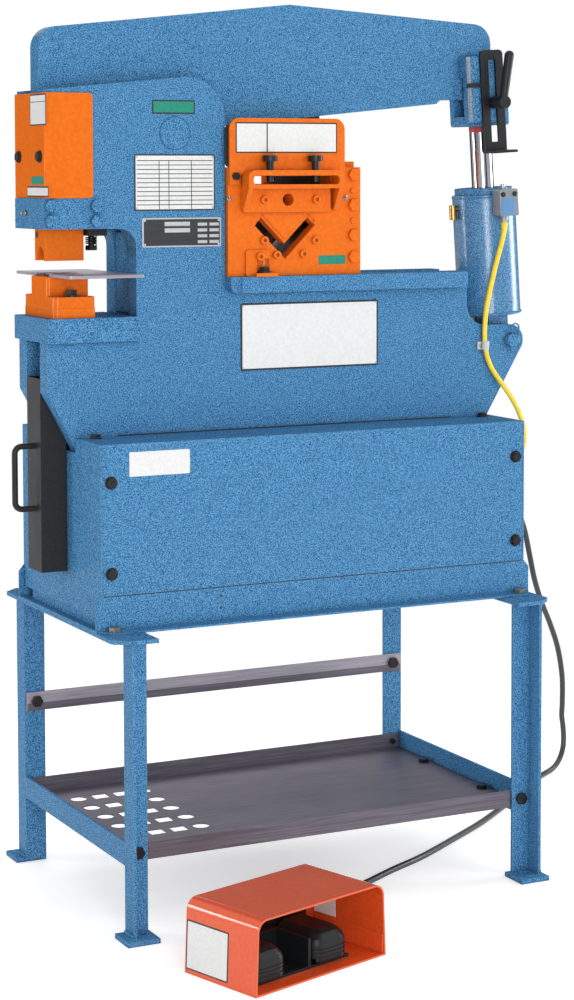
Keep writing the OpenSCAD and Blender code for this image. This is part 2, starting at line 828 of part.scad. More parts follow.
module panel_bolts() {
    color(black) for (side = [-1, 1]) {
        for (z = [z_skirt + panel_bolt_low, z_cab - panel_bolt_high])
            at_y(side * panel_bolt_x, -cab_y, z) {
                bolt(bolt_head_r - 1.5, bolt_head_h, bolt_r, 3 * sheet_t);
                translate([0, 0, -2]) cylinder(r = bolt_head_r, h = 2);
            }
        at_top(side * (cab_x - 30), -top_bolt_y, z_cab) {
            bolt(bolt_head_r - 1.5, bolt_head_h, bolt_r, 2 * sheet_t);
            translate([0, 0, -2]) cylinder(r = bolt_head_r, h = 2);
        }
    }
}

// Side plates
module plate_outline() {
    z_lobe = z_clevis + lobe_r;
    right_foot = plate_foot_out - 8;
    polygon([
        [-plate_foot_out, z_tray], [-plate_foot_x, z_tray],
        [-plate_foot_x, stand_h + plate_arch_h], [plate_foot_x, stand_h + plate_arch_h],
        [plate_foot_x, z_tray], [right_foot, z_tray], [right_foot, z_cab - 9],
        [clevis_x + 0.92 * lobe_r, z_clevis - 0.4 * lobe_r],
        [clevis_x, z_lobe], [bed_right, z_lobe], [bed_right, z_bed],
        [-jaw_x, z_bed], [-jaw_x, z_pivot + plate_top_right - plate_corner_r],
        [-jaw_x - plate_corner_r, z_pivot + plate_top_right],
        [-plate_left, z_pivot + plate_top_left], [-plate_left, z_guide - seat],
        [-plate_left - jaw_out, z_guide - seat], [-plate_left - jaw_out, z_throat],
        [throat_x, z_throat], [throat_x, z_table - table_t],
        [-plate_left, z_table - table_t], [-plate_left, z_knee],
        [-plate_foot_out, z_knee - (plate_left - plate_foot_out) / plate_slope]
    ]);
    translate([-jaw_x - plate_corner_r, z_pivot + plate_top_right - plate_corner_r]) circle(plate_corner_r);
    translate([clevis_x, z_clevis]) circle(lobe_r);
    difference() {
        flat([bed_right - sink, z_lobe - sink], [bed_right + bed_fillet_r, z_lobe + bed_fillet_r]);
        translate([bed_right + bed_fillet_r, z_lobe + bed_fillet_r]) circle(bed_fillet_r);
    }
    difference() {
        flat([throat_x - throat_r, z_throat - throat_r], [throat_x + sink, z_throat + sink]);
        translate([throat_x - throat_r, z_throat - throat_r]) circle(throat_r);
    }
}

module guide_bolt_places() {
    for (x = [-guide_bolt_x, guide_bolt_x], z = [guide_bolt_low, guide_bolt_high])
        translate([x - punch_x, 0, z_throat + z]) children();
}

module side_plate() {
    difference() {
        slab(-y_out, -y_in) plate_outline();
        rod_y(-pivot_x, z_pivot, pivot_r + run, -y_out - sink, -y_in + sink);
        rod_y(clevis_x, z_clevis, clevis_r + run, -y_out - sink, -y_in + sink);
        guide_bolt_places() rod_y(0, 0, guide_bolt_r + run, -y_out - sink, -y_in + sink);
        at_x(-plate_left - sink, -y_plate_mid, z_guide + cover_bolt_z)
            cylinder(r = cover_bolt_r + run, h = 26 + sink);
    }
}

module front_side_plate() {
    color(blue) side_plate();
}

// The rear plate carries the webs that hold the two plates apart
module rear_side_plate() {
    color(blue) {
        mirror([0, 1, 0]) side_plate();
        box([throat_x + 3, -y_in, z_table + 4], [throat_x + 3 + web_t, y_in + sink, z_throat - 8]);
        box([bed_right - 6 - web_t, -y_in, z_clevis - 26], [bed_right - 6, y_in + sink, z_bed - 12]);
        box([-plate_foot_x - web_t, -y_in, z_tray + 4], [-plate_foot_x, y_in + sink, z_knee - 99]);
        box([plate_foot_x + 4, -y_in, z_tray + 4], [plate_foot_x + 4 + web_t, y_in + sink, stand_h + 240]);
    }
}

module pivot_pin() {
    color(blue) rod_y(-pivot_x, z_pivot, pivot_r, -y_out - 1, y_out + 1);
}

module thrust_washers() {
    color(steel) both_sides() difference() {
        rod_y(-pivot_x, z_pivot, hub_r - 10, -y_in, -beam_t / 2 - seat);
        rod_y(-pivot_x, z_pivot, pivot_r + run, -y_out, 0);
    }
}

// Punch station
module ram_guide() {
    color(blue) difference() {
        box([-plate_left - jaw_out, -y_in, z_throat], [guide_w - plate_left, y_in, z_guide - seat]);
        box([-punch_x - ram_w / 2 - seat, -ram_d / 2 - seat, z_throat - sink],
            [ram_w / 2 - punch_x + seat, ram_d / 2 + seat, z_guide + sink]);
        both_sides() guide_bolt_places() rod_y(0, 0, guide_bolt_r + run, -y_in - sink, 20 - y_in);
    }
}

module guide_bolts() {
    color(blue) both_sides() guide_bolt_places() at_y(0, -y_out, 0)
        bolt(11, 8, guide_bolt_r, plate_t + 18);
}

module punch_cover() {
    low = z_guide;
    high = z_guide + cover_h;
    right = cover_w - plate_left;
    color(orange) difference() {
        union() {
            box([-plate_left - cover_t, -y_out - cover_t, low], [-plate_left, y_out + cover_t, high]);
            both_sides() slab(-y_out - cover_t, -y_out) {
                flat([-plate_left - cover_t, low], [right - cover_corner_r, high]);
                round_flat([-plate_left - cover_t + sink, low], [right, high], cover_corner_r);
            }
        }
        for (way = [-1, 1]) at_x(-plate_left - cover_t - sink, way * y_plate_mid, low + cover_bolt_z)
            cylinder(r = cover_bolt_r + run, h = cover_t + 2 * sink);
    }
}

module station_bolts() {
    color(black) {
        for (way = [-1, 1]) {
            at_x(-plate_left - cover_t, way * y_plate_mid, z_guide + cover_bolt_z) {
                bolt(8, 6, cover_bolt_r, cover_t + 25);
                translate([0, 0, -2]) cylinder(r = 10, h = 2);
            }
            at_top(-punch_x, way * die_bolt_y, z_block) {
                bolt(9, 11, bolt_r, die_flange_h + die_base_h + 24);
                translate([0, 0, -3]) cylinder(r = 13, h = 3);
            }
        }
        at_top(tab_x, -y_tab, z_bed + tab_t) {
            bolt(9, 10, bolt_r, tab_t + 18);
            translate([0, 0, -2.5]) cylinder(r = 12, h = 2.5);
        }
        at_y(guard_bolt[0], -y_shear - guard_t, guard_bolt[1]) bolt(7, 5, cover_bolt_r, guard_t + 14);
    }
}

module die_table() {
    color(blue) difference() {
        box([-plate_left - cover_t, -table_d / 2, z_table - table_t], [throat_x, table_d / 2, z_table]);
        rod_z(-punch_x, 0, slug_r, z_table - table_t - sink, z_table + sink);
        die_bolt_cuts(z_table - 26, z_table + sink);
    }
}

module die_bolt_cuts(z0, z1) {
    for (way = [-1, 1]) rod_z(-punch_x, way * die_bolt_y, bolt_r + run, z0, z1);
}

module die_base() {
    d = die_flange_d + 1;
    color(orange) difference() {
        translate([0, 0, z_table]) linear_extrude(die_base_h) {
            round_flat([-punch_x - die_x, -d], [die_x - punch_x, d], 8);
            flat([-punch_x - die_x, 12 - d], [-punch_x, d - 12]);
        }
        rod_z(-punch_x, 0, slug_r, z_table - sink, z_flange + sink);
        die_bolt_cuts(z_table - sink, z_flange + sink);
    }
}

module die_holder() {
    color(orange) difference() {
        union() {
            translate([0, 0, z_flange]) linear_extrude(die_flange_h)
                round_flat([-punch_x - die_x, -die_flange_d], [die_x - punch_x, die_flange_d], 10);
            translate([0, 0, z_flange + sink]) linear_extrude(z_gauge - z_flange - sink)
                round_flat([-punch_x - die_x, -die_block_d], [die_x - punch_x, die_block_d], 6);
        }
        rod_z(-punch_x, 0, slug_r, z_flange - sink, z_gauge);
        rod_z(-punch_x, 0, die_r + run, z_block, z_gauge + sink);
        die_bolt_cuts(z_flange - sink, z_block + sink);
    }
}

module punch_die() {
    color(black) difference() {
        union() {
            rod_z(-punch_x, 0, die_r, z_block, z_work - 1);
        }
        rod_z(-punch_x, 0, slug_r - 8, z_block - sink, z_work + sink);
    }
}

module gauge_table() {
    left = -punch_x - die_x + 7;
    color(steel) difference() {
        translate([0, 0, z_gauge]) linear_extrude(gauge_t)
            round_flat([left, -gauge_d / 2], [left + gauge_w, gauge_d / 2], 3);
        box([left - sink, -notch_d, z_gauge - sink], [-punch_x, notch_d, z_work + sink]);
        rod_z(-punch_x, 0, notch_d, z_gauge - sink, z_work + sink);
    }
}

// The stripper block hangs under the upper jaw beside the ram

module stripper_block() {
    left = ram_w / 2 + 2 - punch_x;
    color(black) difference() {
        box([left, -stripper_y, z_stripper], [left + 32, stripper_y, z_throat]);
        rod_z(stripper_x, 0, stripper_bolt_r + run, z_stripper - sink, z_throat + sink);
    }
}

module stripper_bolt() {
    color(black) {
        rod_z(stripper_x, 0, stripper_bolt_r, z_head - sink, z_throat + seat + sink);
        rod_z(stripper_x, 0, stripper_bolt_r + 3, z_throat + seat, z_throat + seat + 6);
        translate([stripper_x, 0, z_head - stripper_head_h]) cylinder(r = stripper_head_r, h = stripper_head_h, $fn = 6);
    }
}

echo(spring_self_gap = spring_self_gap);

module stripper_spring() {
    color(black) translate([stripper_x, 0, z_head + spring_gap]) tube(spring_path, spring_wire_r, 6);
}

// Shear station
module vee_outline() {
    for (side = [-1, 1]) translate([vee_x, z_vee]) rotate(90 - 45 * side)
        flat([-vee_gap / 2, -vee_gap / 2], [vee_leg, vee_gap / 2]);
}

// Openings for angle, round and flat bar, through everything in their way
module stock_cuts(y0, y1, middle = slot_x, width = slot_w) {
    slab(y0, y1) {
        vee_outline();
        translate([round_x, z_round]) circle(round_r);
        flat([middle - width / 2, z_flat], [middle + width / 2, z_flat + flat_gap]);
    }
}

module shear_bed() {
    y0 = -y_out - bed_bar_d;
    color(blue) difference() {
        slab(y0, -y_out) {
            flat([12 - jaw_x, z_bed - bed_bar_h], [bed_right - 12, z_bed]);
            flat([-jaw_x, z_bed - bed_bar_h + 12], [bed_right - 12, z_bed]);
            translate([12 - jaw_x, z_bed - bed_bar_h + 12]) circle(12);
        }
        rod_z(15 - jaw_x, y0, 6, z_bed - bed_bar_h - sink, z_bed + sink);
        rod_z(tab_x, -y_tab, bolt_r + run, z_bed - 20, z_bed + sink);
    }
}

module shear_bolt_cuts(y0, y1) {
    for (z = shear_bolt_zs) rod_y(shear_bolt_x, z_bed + z, bolt_r + run, y0, y1);
}

module blade_screw_cuts(y0, y1) {
    for (p = blade_screws) rod_y(vee_x + p[0], z_vee + p[1], cover_bolt_r + run, y0, y1);
}

module bracket_screw_cuts(y0, y1) {
    for (x = bracket_screw_xs) rod_y(x, z_round, cover_bolt_r + run, y0, y1);
}

module shear_front_plate() {
    color(orange) difference() {
        union() {
            slab(-y_shear, -y_shear_in) flat([shear_left, z_bed], [shear_right, z_shear]);
            slab(-y_shear - pad_t, sink - y_shear)
                round_flat([pad_x[0], z_bed], [pad_x[1], z_bed + pad_h], 4);
            box([tab_x - 20, -y_out - bed_bar_d - 4, z_bed], [tab_x + 20, -y_shear + sink, z_bed + tab_t]);
        }
        stock_cuts(-y_shear - pad_t - sink, -y_shear_in + sink, flat_x, flat_w);
        slab(-y_shear - sink, vee_relief_t - y_shear) translate([0, vee_relief]) vee_outline();
        shear_bolt_cuts(-y_shear - sink, -y_shear_in + sink);
        blade_screw_cuts(-y_shear - sink, -y_shear_in + sink);
        rod_y(pad_screw[0], pad_screw[1], cover_bolt_r + run, -y_shear - pad_t - sink, -y_shear_in + sink);
        bracket_screw_cuts(-y_shear - sink, -y_shear_in + sink);
        rod_z(tab_x, -y_tab, bolt_r + run, z_bed - sink, z_bed + tab_t + sink);
        // Room for the washer and head on the tab
        rod_z(tab_x, -y_tab, 14, z_bed + tab_t, z_bed + 30);
        rod_y(guard_bolt[0], guard_bolt[1], cover_bolt_r + run, -y_shear - sink, 15 - y_shear);
    }
}

module shear_guard() {
    low = z_flat + flat_gap + 3;
    high = z_shear + guard_h;
    left = shear_left + 1;
    right = flat_x + flat_w / 2 + 25;
    color(orange) difference() {
        slab(-y_shear - guard_t, -y_shear) {
            flat([left, low], [right, high - guard_r]);
            flat([left + guard_r, low], [right - guard_r, high]);
            for (x = [left + guard_r, right - guard_r]) translate([x, high - guard_r]) circle(guard_r);
            flat([left, guard_bolt[1] - 14], [flat_x - flat_w / 2 - bracket_wall - 4, low + sink]);
        }
        rod_y(guard_bolt[0], guard_bolt[1], cover_bolt_r + run, -y_shear - guard_t - sink, sink - y_shear);
    }
}

module shear_rear_plate() {
    color(orange) difference() {
        union() {
            slab(y_shear_in, y_shear) flat([shear_left, z_bed], [shear_right, z_shear]);
            box([shear_right - spacer_w, -y_shear_in, z_bed], [shear_right, y_shear_in + sink, z_shear + spacer_top]);
            box([shear_left, -y_shear_in, z_bed], [shear_left + spacer_w - 2, y_shear_in + sink, z_shear]);
        }
        stock_cuts(y_shear_in - sink, y_shear + sink);
        shear_bolt_cuts(-y_shear, 30 - y_shear_in);
    }
}

module shear_bolts() {
    color(orange) {
        for (z = shear_bolt_zs) at_y(shear_bolt_x, -y_shear, z_bed + z) bolt(11, 7, bolt_r, shear_t + 28);
        for (z = shear_screw_zs) rod_y(shear_bolt_x - 1, z_bed + z, 5, -y_shear - 4, -y_shear);
        for (p = blade_screws) at_y(vee_x + p[0], -y_shear, z_vee + p[1]) socket_screw(shear_t + 16);
        for (x = bracket_screw_xs) at_y(x, -y_bracket, z_round) socket_screw(bracket_t + shear_t - 4);
        at_y(pad_screw[0], -y_shear - pad_t, pad_screw[1]) socket_screw(pad_t + shear_t - 4);
    }
}

module socket_screw(length) {
    difference() {
        bolt(7, 7, cover_bolt_r, length, 48);
        translate([0, 0, -7 - sink]) cylinder(r = 3.5, h = 4 + sink, $fn = 6);
    }
}

// Blades under both legs of the angle opening, behind the front plate
module fixed_blades() {
    y0 = -y_shear_in;
    y1 = -beam_t / 2 - slide;
    low = 5 - vee_h;
    reach = vee_leg / sqrt(2);
    drop = blade_edge + blade_w * sqrt(2);
    color(steel) difference() {
        for (side = [0, 1]) translate([vee_x, 0, z_vee]) mirror([side, 0, 0]) slab(y0, y1)
            polygon([[seat, seat - blade_edge], [reach, reach - blade_edge],
                [reach + blade_w / sqrt(2), reach - blade_edge - blade_w / sqrt(2)],
                [low + drop, low], [seat, low]]);
        blade_screw_cuts(y0 - sink, 18 - y_shear_in);
    }
}

module hold_down_bracket() {
    left = flat_x - flat_w / 2;
    right = flat_x + flat_w / 2;
    top = z_flat + flat_gap + bracket_bar + sink;
    y_back = -y_shear - guard_t - seat;
    color(orange) difference() {
        union() {
            slab(-y_bracket, -y_shear) round_flat([left - 8.5, z_flat - bracket_h], [right - 6.5, z_flat - sink], 5);
            box([left, -y_reach, z_flat - 7], [right, -y_shear - sink, z_flat]);
            slab(-y_reach, y_back) difference() {
                union() {
                    round_flat([left - bracket_wall, z_flat - 7], [right + bracket_wall, top], bracket_round);
                    flat([left - bracket_wall, z_flat - 7], [right + bracket_wall, z_flat + 2]);
                }
                round_flat([left, z_flat], [right, z_flat + flat_gap + sink], 6);
            }
            for (x = [left - bracket_wall, right])
                translate([x, 0, 0]) rotate([90, 0, 90]) linear_extrude(bracket_wall)
                    polygon([[-y_reach, z_flat - 6], [-y_bracket + 2, z_flat - 6],
                        [-y_shear, z_flat - 6], [-y_shear, z_flat - bracket_h + 4],
                        [-y_bracket, z_flat - bracket_h + 4]]);
        }
        rod_y(round_x, z_round, round_r, -y_bracket - sink, sink - y_shear);
        bracket_screw_cuts(-y_bracket - sink, sink - y_shear);
        for (x = hold_xs) rod_z(x, y_hold, hold_r + run, z_flat + flat_gap, top + sink);
    }
}

module hold_down_screw(x) {
    low = z_flat + hold_lift;
    high = z_shear + 10;
    color(black) {
        rod_z(x, y_hold, hold_r, low, high + sink);
        rod_z(x, y_hold, hold_head_r, high, high + hold_head_h);
    }
}

module left_hold_down_screw() {
    hold_down_screw(hold_xs[0]);
}

module right_hold_down_screw() {
    hold_down_screw(hold_xs[1]);
}

// Cylinder's lower pin

module clevis_pin() {
    color(blue) difference() {
        union() {
            rod_y(clevis_x, z_clevis, clevis_r, -y_out - 14, y_out + 4);
            rod_y(clevis_x, z_clevis, clevis_r + 4, y_out, y_out + 6);
        }
        rod_z(clevis_x, -clip_y, clip_r + run, z_clevis - 2 * clevis_r, z_clevis + 2 * clevis_r);
    }
}

module hairpin_clip() {
    top = z_clevis + clevis_r + 10;
    color(blue) {
        rod_z(clevis_x, -clip_y, clip_r, z_clevis - clevis_r - 12, top + 0.01);
        rod_z(clevis_x + 2 * clip_bend, -clip_y, clip_r, z_clevis - clevis_r - 4, top + 0.01);
        translate([clevis_x + clip_bend, -clip_y, top]) rotate([90, 0, 0])
            rotate_extrude(angle = 180) translate([clip_bend, 0]) circle(clip_r);
    }
}

// Beam
function beam_under_z(x) = z_pivot + beam_under + beam_under_slope * x;

// Outline without its round corners, hub, tongue and nose
module beam_outline() {
    step_x = bed_right - 36;
    neck_x = ram_w / 2 + 18 - punch_x;
    r = beam_corner_r;
    polygon([
        [-beam_left, z_pivot + jaw_gap], [-beam_left, z_beam_left - r], [r - beam_left, z_beam_left],
        [ridge_x, z_pivot + ridge_h], [beam_right - r, z_beam_right], [beam_right, z_beam_right - r],
        [beam_right, z_rod_pin], [rod_pin_x - tongue_r, z_rod_pin],
        [step_x + 8, beam_under_z(step_x) + 7], [step_x, beam_under_z(step_x)],
        [-jaw_x, beam_under_z(-jaw_x)], [0.8 * hub_r - pivot_x, z_pivot - 0.6 * hub_r],
        [-pivot_x - 0.6 * hub_r, z_pivot - 0.8 * hub_r], [neck_x, z_pivot - neck_h / 2],
        [-punch_x, z_pivot - neck_h / 2], [-punch_x, z_pivot + neck_h / 2],
        [neck_x, z_pivot + neck_h / 2], [neck_x, z_pivot + jaw_gap]
    ]);
}

module beam() {
    r = beam_corner_r;
    y = beam_t / 2;
    color(blue) difference() {
        union() {
            slab(-y, y) beam_outline();
            rod_y(r - beam_left, z_beam_left - r, r, -y, y);
            rod_y(beam_right - r, z_beam_right - r, r, -y, y);
            rod_y(-pivot_x, z_pivot, hub_r, -y, y);
            rod_y(rod_pin_x, z_rod_pin, tongue_r, -y, y);
            rod_y(-punch_x, z_pivot, nose_r, -y, y);
        }
        rod_y(-pivot_x, z_pivot, pivot_r + run, -y - sink, y + sink);
        rod_y(rod_pin_x, z_rod_pin, rod_pin_r + open_play, -y - sink, y + sink);
    }
}

// The moving shear blade hangs from the beam's underside
module blade_holder() {
    left = vee_x + 16 - holder_w / 2;
    right = left + holder_w;
    color(steel) difference() {
        slab(-beam_t / 2, beam_t / 2)
            polygon([[left, z_bed + 8], [right, z_bed + 8],
                [right, beam_under_z(right)], [left, beam_under_z(left)]]);
        stock_cuts(-beam_t / 2 - sink, beam_t / 2 + sink);
    }
}

// Rail on the beam's front face for the stroke stop, with the clamp's stud
module stop_rail() {
    color(blue) on_cylinder() {
        box([-rail_left, -y_stop, rail_foot], [rail_right, -y_rail, rail_top]);
        box([-rail_left, -y_rail - sink, fork_top + 11], [rail_right, -beam_t / 2, rail_top]);
        rod_y(0, stud_s, stud_r, -y_stop - lever_hub_l, sink - y_stop);
    }
}

module ram() {
    half = ram_w / 2;
    color(orange) difference() {
        union() {
            box([-punch_x - half, -ram_d / 2, z_ram], [half - punch_x, ram_d / 2, z_pivot]);
            box([-punch_x - half, slide - y_in, z_guide + 14], [half - punch_x, y_in - slide, z_pivot + head_top]);
        }
        // Slot for the beam's nose, open to the right
        rod_y(-punch_x, z_pivot, nose_r + seat, -y_in, y_in);
        box([-punch_x, -y_in, z_pivot - head_slot / 2], [half - punch_x + sink, y_in, z_pivot + head_slot / 2]);
        // Punch socket and the arched window to its nut
        rod_z(-punch_x, 0, socket_r, z_ram - sink, z_ram + socket_depth);
        at_x(-punch_x - half - sink, 0, z_ram + window_h - window_w / 2) cylinder(r = window_w / 2, h = half + sink);
        box([-punch_x - half - sink, -window_w / 2, z_ram - sink],
            [-punch_x, window_w / 2, z_ram + window_h - window_w / 2]);
    }
}

// Cylinder
module cylinder_barrel() {
    pad_w = switch_half - 3;
    color(blue) on_cylinder() difference() {
        union() {
            rod_z(0, 0, barrel_r, barrel_foot, barrel_top);
            rod_y(0, 0, eye_r, -y_fork, y_fork);
            box([-20, -y_fork, 0], [20, y_fork, barrel_foot + sink]);
            box([-pad_w, -y_switch, switch_s[0] + 2], [pad_w, -bore_r - 2, switch_s[1] - 12]);
        }
        rod_z(0, 0, bore_r, barrel_foot + barrel_cap, barrel_top + sink);
        rod_y(0, 0, clevis_r + run, -y_in, y_in);
    }
}

module cylinder_gland() {
    color(blue) on_cylinder() difference() {
        union() {
            rod_z(0, 0, barrel_r - 5, barrel_top, barrel_top + gland_h);
            rod_z(0, 0, bore_r - run, barrel_top - gland_plug, barrel_top + sink);
        }
        rod_z(0, 0, rod_r + run, barrel_top - gland_plug - sink, barrel_top + gland_h + sink);
    }
}

// Breather on the barrel's rod end: a nipple and an elbow that points down
module breather() {
    out = barrel_r + 9;
    color("#B08D57") on_cylinder() {
        difference() {
            rod_x(0, breather_s, 5, -out, 0);
            rod_z(0, 0, barrel_r + run, breather_s - 20, breather_s + 20);
        }
        rod_z(-out, 0, 6.5, breather_s - 20, breather_s + 6.5);
    }
}

module limit_switch() {
    y1 = -y_switch;
    y0 = y1 - switch_d;
    color(zinc) on_cylinder() difference() {
        union() {
            slab(y0, y1) round_flat([-switch_half, switch_s[0]], [switch_half, switch_s[1]], 3);
            rod_z(plunger_u, (y0 + y1) / 2, plunger_r + 3.5, switch_s[1] - sink, switch_s[1] + 4);
            rod_z(lead_u, (y0 + y1) / 2, lead_r + 2.5, switch_s[0] - 9, switch_s[0] + sink);
            for (u = [-1, 1]) rod_y(u * (switch_half - 7), switch_s[1] - 9, 4, y0 - 1.5, y0 + sink);
        }
        rod_z(plunger_u, (y0 + y1) / 2, plunger_r + run, switch_s[1] - 20, switch_s[1] + 5);
    }
}

module switch_plunger() {
    color(chrome) on_cylinder()
        rod_z(plunger_u, -y_switch - switch_d / 2, plunger_r, switch_s[1] - 12, switch_s[1] + plunger_out);
}

module piston_rod() {
    color(chrome) on_cylinder() {
        rod_z(0, 0, rod_r, piston_s + sink, fork_foot);
        rod_z(0, 0, bore_r - run, piston_s, piston_s + piston_h);
    }
}

module rod_clevis() {
    slot = beam_t / 2 + slide;
    color(blue) on_cylinder() difference() {
        slab(-y_fork, y_fork) round_flat([-fork_w / 2, fork_foot], [fork_w / 2, fork_top], 5);
        box([-fork_w / 2 - sink, -slot, fork_slot], [fork_w / 2 + sink, slot, fork_top + sink]);
        rod_y(0, rod_pin_s, rod_pin_r + run, -y_in, y_in);
    }
}

module rod_pin() {
    color(steel) on_cylinder() rod_y(0, rod_pin_s, rod_pin_r, slide - y_fork, y_fork - slide);
}

// Slotted stop that sets the return stroke, with a pointer over the scale
module stop_bracket() {
    y1 = -y_stop - seat;
    y0 = y1 - stop_t;
    color(black) on_cylinder() {
        slab(y0, y1) difference() {
            union() {
                flat([-stop_half, stop_foot], [stop_half, stop_top - 20]);
                round_flat([-stop_half, stop_foot], [stop_half, stop_top], 9);
            }
            flat([-stop_slot_r, stop_slot[0]], [stop_slot_r, stop_slot[1]]);
        }
        box([-stop_half, y0 - stop_reach, stop_foot], [stop_half, y0 + sink, stop_foot + 4.5]);
        box([-rail_left - 2, y0 + 1, stud_s + 29], [sink - stop_half, y0 + 4.5, stud_s + 36]);
    }
}

module clamp_lever() {
    y1 = -y_stop - stop_t - 2 * seat;
    y0 = y1 - lever_hub_l;
    color(black) on_cylinder() difference() {
        union() {
            rod_y(0, stud_s, lever_hub_r, y0, y1);
            translate([0, y0 + 9, stud_s]) rotate([0, lever_lean, 0]) {
                cylinder(r1 = 7.5, r2 = 8.5, h = lever_arm);
                translate([0, 0, lever_arm]) sphere(8.5);
            }
        }
        rod_y(0, stud_s, stud_r + run, y0 + 6, y1 + sink);
    }
}

// Slug chute, hung on the cabinet's left end between the side plates
module slug_chute() {
    left = -chute_left;
    right = -cab_x - 0.8;
    low = stand_h + chute_low;
    top = z_table - chute_drop;
    shelf = z_cab + 8;
    t = chute_t;
    color(black) {
        difference() {
            union() {
                box([left, -chute_y, low], [right, chute_y, top]);
                box([right - sink, -chute_y, shelf], [-hopper_right, chute_y, top]);
            }
            box([left + t, t - chute_y, low + t], [right - t, chute_y - t, top + sink]);
            box([right - 2 * t, t - chute_y, shelf + t], [-hopper_right - t, chute_y - t, top + sink]);
        }
        for (y = [-hook_y, hook_y]) {
            box([right - sink, y - hook_h / 2, stand_h + hook_z + seat], [right + 9, y + hook_h / 2, stand_h + hook_z + 6]);
            box([-cab_x + sheet_t + slide, y - hook_h / 2, stand_h + hook_z - 10],
                [right + 9, y + hook_h / 2, stand_h + hook_z + 6]);
        }
        chute_handle(left);
    }
}

module chute_handle(left) {
    x = left - handle_out;
    z0 = stand_h + handle_z[0];
    z1 = stand_h + handle_z[1];
    b = handle_bend;
    rod_z(x, 0, handle_r, z0 + b - 0.01, z1 - b + 0.01);
    for (z = [z0, z1]) rod_x(0, z, handle_r, x + b - 0.01, left + sink);
    translate([x + b, 0, z1 - b]) rotate([90, 0, 0]) rotate([0, 0, 90])
        rotate_extrude(angle = 90) translate([b, 0]) circle(handle_r);
    translate([x + b, 0, z0 + b]) rotate([90, 0, 0]) rotate([0, 0, 180])
        rotate_extrude(angle = 90) translate([b, 0]) circle(handle_r);
}

// Power unit inside the cabinet
module power_motor() {
    color("#5A5F66") {
        rod_x(0, z_motor, motor_r, motor_x[0], motor_x[1]);
        rod_x(0, z_motor, pump_r, motor_x[1] - sink, pump_x);
        box([motor_x[0] + 30, -motor_r + 8, z_tray], [motor_x[1] - 30, motor_r - 8, z_motor]);
        rod_z(hose_x, 0, hose_r + 2, z_motor, z_hose - seat);
    }
}

module oil_reservoir() {
    color("#5A5F66") box([pump_x, -tank_y, z_tray], [tank_x, tank_y, z_tray + tank_h]);
}

module pressure_hose() {
    color(black) tube(curve(hose_route, 30), hose_r, 8);
}

// Yellow lead from the limit switch, with its gland on the cabinet's right end
module switch_lead() {
    color(yellow) {
        tube(curve(lead_route, 22), lead_r, 8);
        rod_x(lead_gland[0], lead_gland[1], lead_r + 3, cab_x, cab_x + lead_plug + sink);
    }
}

// Foot switch
module foot_guard() {
    color("#E8622C") on_pedal() difference() {
        union() {
            translate([0, pedal_d, 0]) rotate([90, 0, 0]) linear_extrude(pedal_d) difference() {
                guard_section(0);
                guard_section(pedal_t);
            }
            translate([0, pedal_d, 0]) rotate([90, 0, 0]) linear_extrude(pedal_t) guard_section(0);
        }
        translate([pedal_gland_u, pedal_d - pedal_t - sink, gland_w]) rotate([-90, 0, 0])
            cylinder(r = cable_r + 4 + run, h = pedal_t + 2 * sink);
    }
}

// The guard's section: flared to the floor, round at the top
module guard_section(inset) {
    offset(delta = -inset) hull() {
        flat([-guard_flare, 0], [pedal_w + guard_flare, 1]);
        for (u = [pedal_r, pedal_w - pedal_r]) translate([u, pedal_h - pedal_r]) circle(pedal_r);
    }
}

// Switch body on the guard's floor, with the treadles' hinge pin and the cable gland
module pedal_base() {
    back = pedal_d - pedal_t;
    left = switch_sides[0];
    right = switch_sides[1];
    color(black) on_pedal() {
        box([left, switch_front, pedal_t], [right, back, pedal_t + 4]);
        box([wall_u[0], switch_front, pedal_t], [wall_u[1], back, 51]);
        box([treadle_us[0] + treadle_w + 2, hinge_v - 9, pedal_t], [wall_u[1], back, 51]);
        box([left, hinge_v + 14, pedal_t], [right, back, 60]);
        for (u = [left, right - 4]) box([u, hinge_v - 9, pedal_t], [u + 4, back, hinge_w + 9]);
        translate([left + 1, hinge_v, hinge_w]) rotate([0, 90, 0]) cylinder(r = hinge_r, h = right - left - 2);
        translate([pedal_gland_u, back - 4, gland_w]) rotate([-90, 0, 0])
            cylinder(r = cable_r + 4, h = gland_out - back + 4);
    }
}

// A treadle's outline, drawn in from its edge, with a round front
module treadle_outline(inset) {
    r = treadle_round - inset / 2;
    low = [inset, treadle_front + inset];
    hull() {
        flat([inset, treadle_front + treadle_round + inset], [treadle_w - inset, hinge_v + 2]);
        for (u = [inset + r, treadle_w - inset - r]) translate([u, low[1] + r]) circle(r);
    }
}

module treadle(u0) {
    color(black) on_pedal() translate([u0, 0, 0]) difference() {
        union() {
            for (rib = treadle_ribs) translate([0, 0, treadle_low + rib[0]])
                linear_extrude(rib[1] - rib[0]) treadle_outline(rib[2]);
            translate([0, 0, treadle_lip[0]]) linear_extrude(treadle_low - treadle_lip[0] + sink) intersection() {
                treadle_outline(0);
                flat([-1, treadle_front - 1], [treadle_w + 1, treadle_lip[1]]);
            }
            hull() for (slice = treadle_crown) translate([0, 0, treadle_low + slice[0] - sink])
                linear_extrude(sink) treadle_outline(slice[1]);
            translate([0, hinge_v, hinge_w]) rotate([0, 90, 0]) cylinder(r = hinge_r + 4, h = treadle_w);
        }
        translate([-sink, hinge_v, hinge_w]) rotate([0, 90, 0])
            cylinder(r = hinge_r + run, h = treadle_w + 2 * sink);
    }
}

module left_treadle() {
    treadle(treadle_us[0]);
}

module right_treadle() {
    treadle(treadle_us[1]);
}

// Foot switch cable, with its gland on the cabinet's right end
module pedal_cable() {
    color(black) {
        tube(curve(cable_route, 30), cable_r, 8);
        rod_x(cable_gland[0], cable_gland[1], gland_r, cab_x, cab_x + gland_l + sink);
    }
}

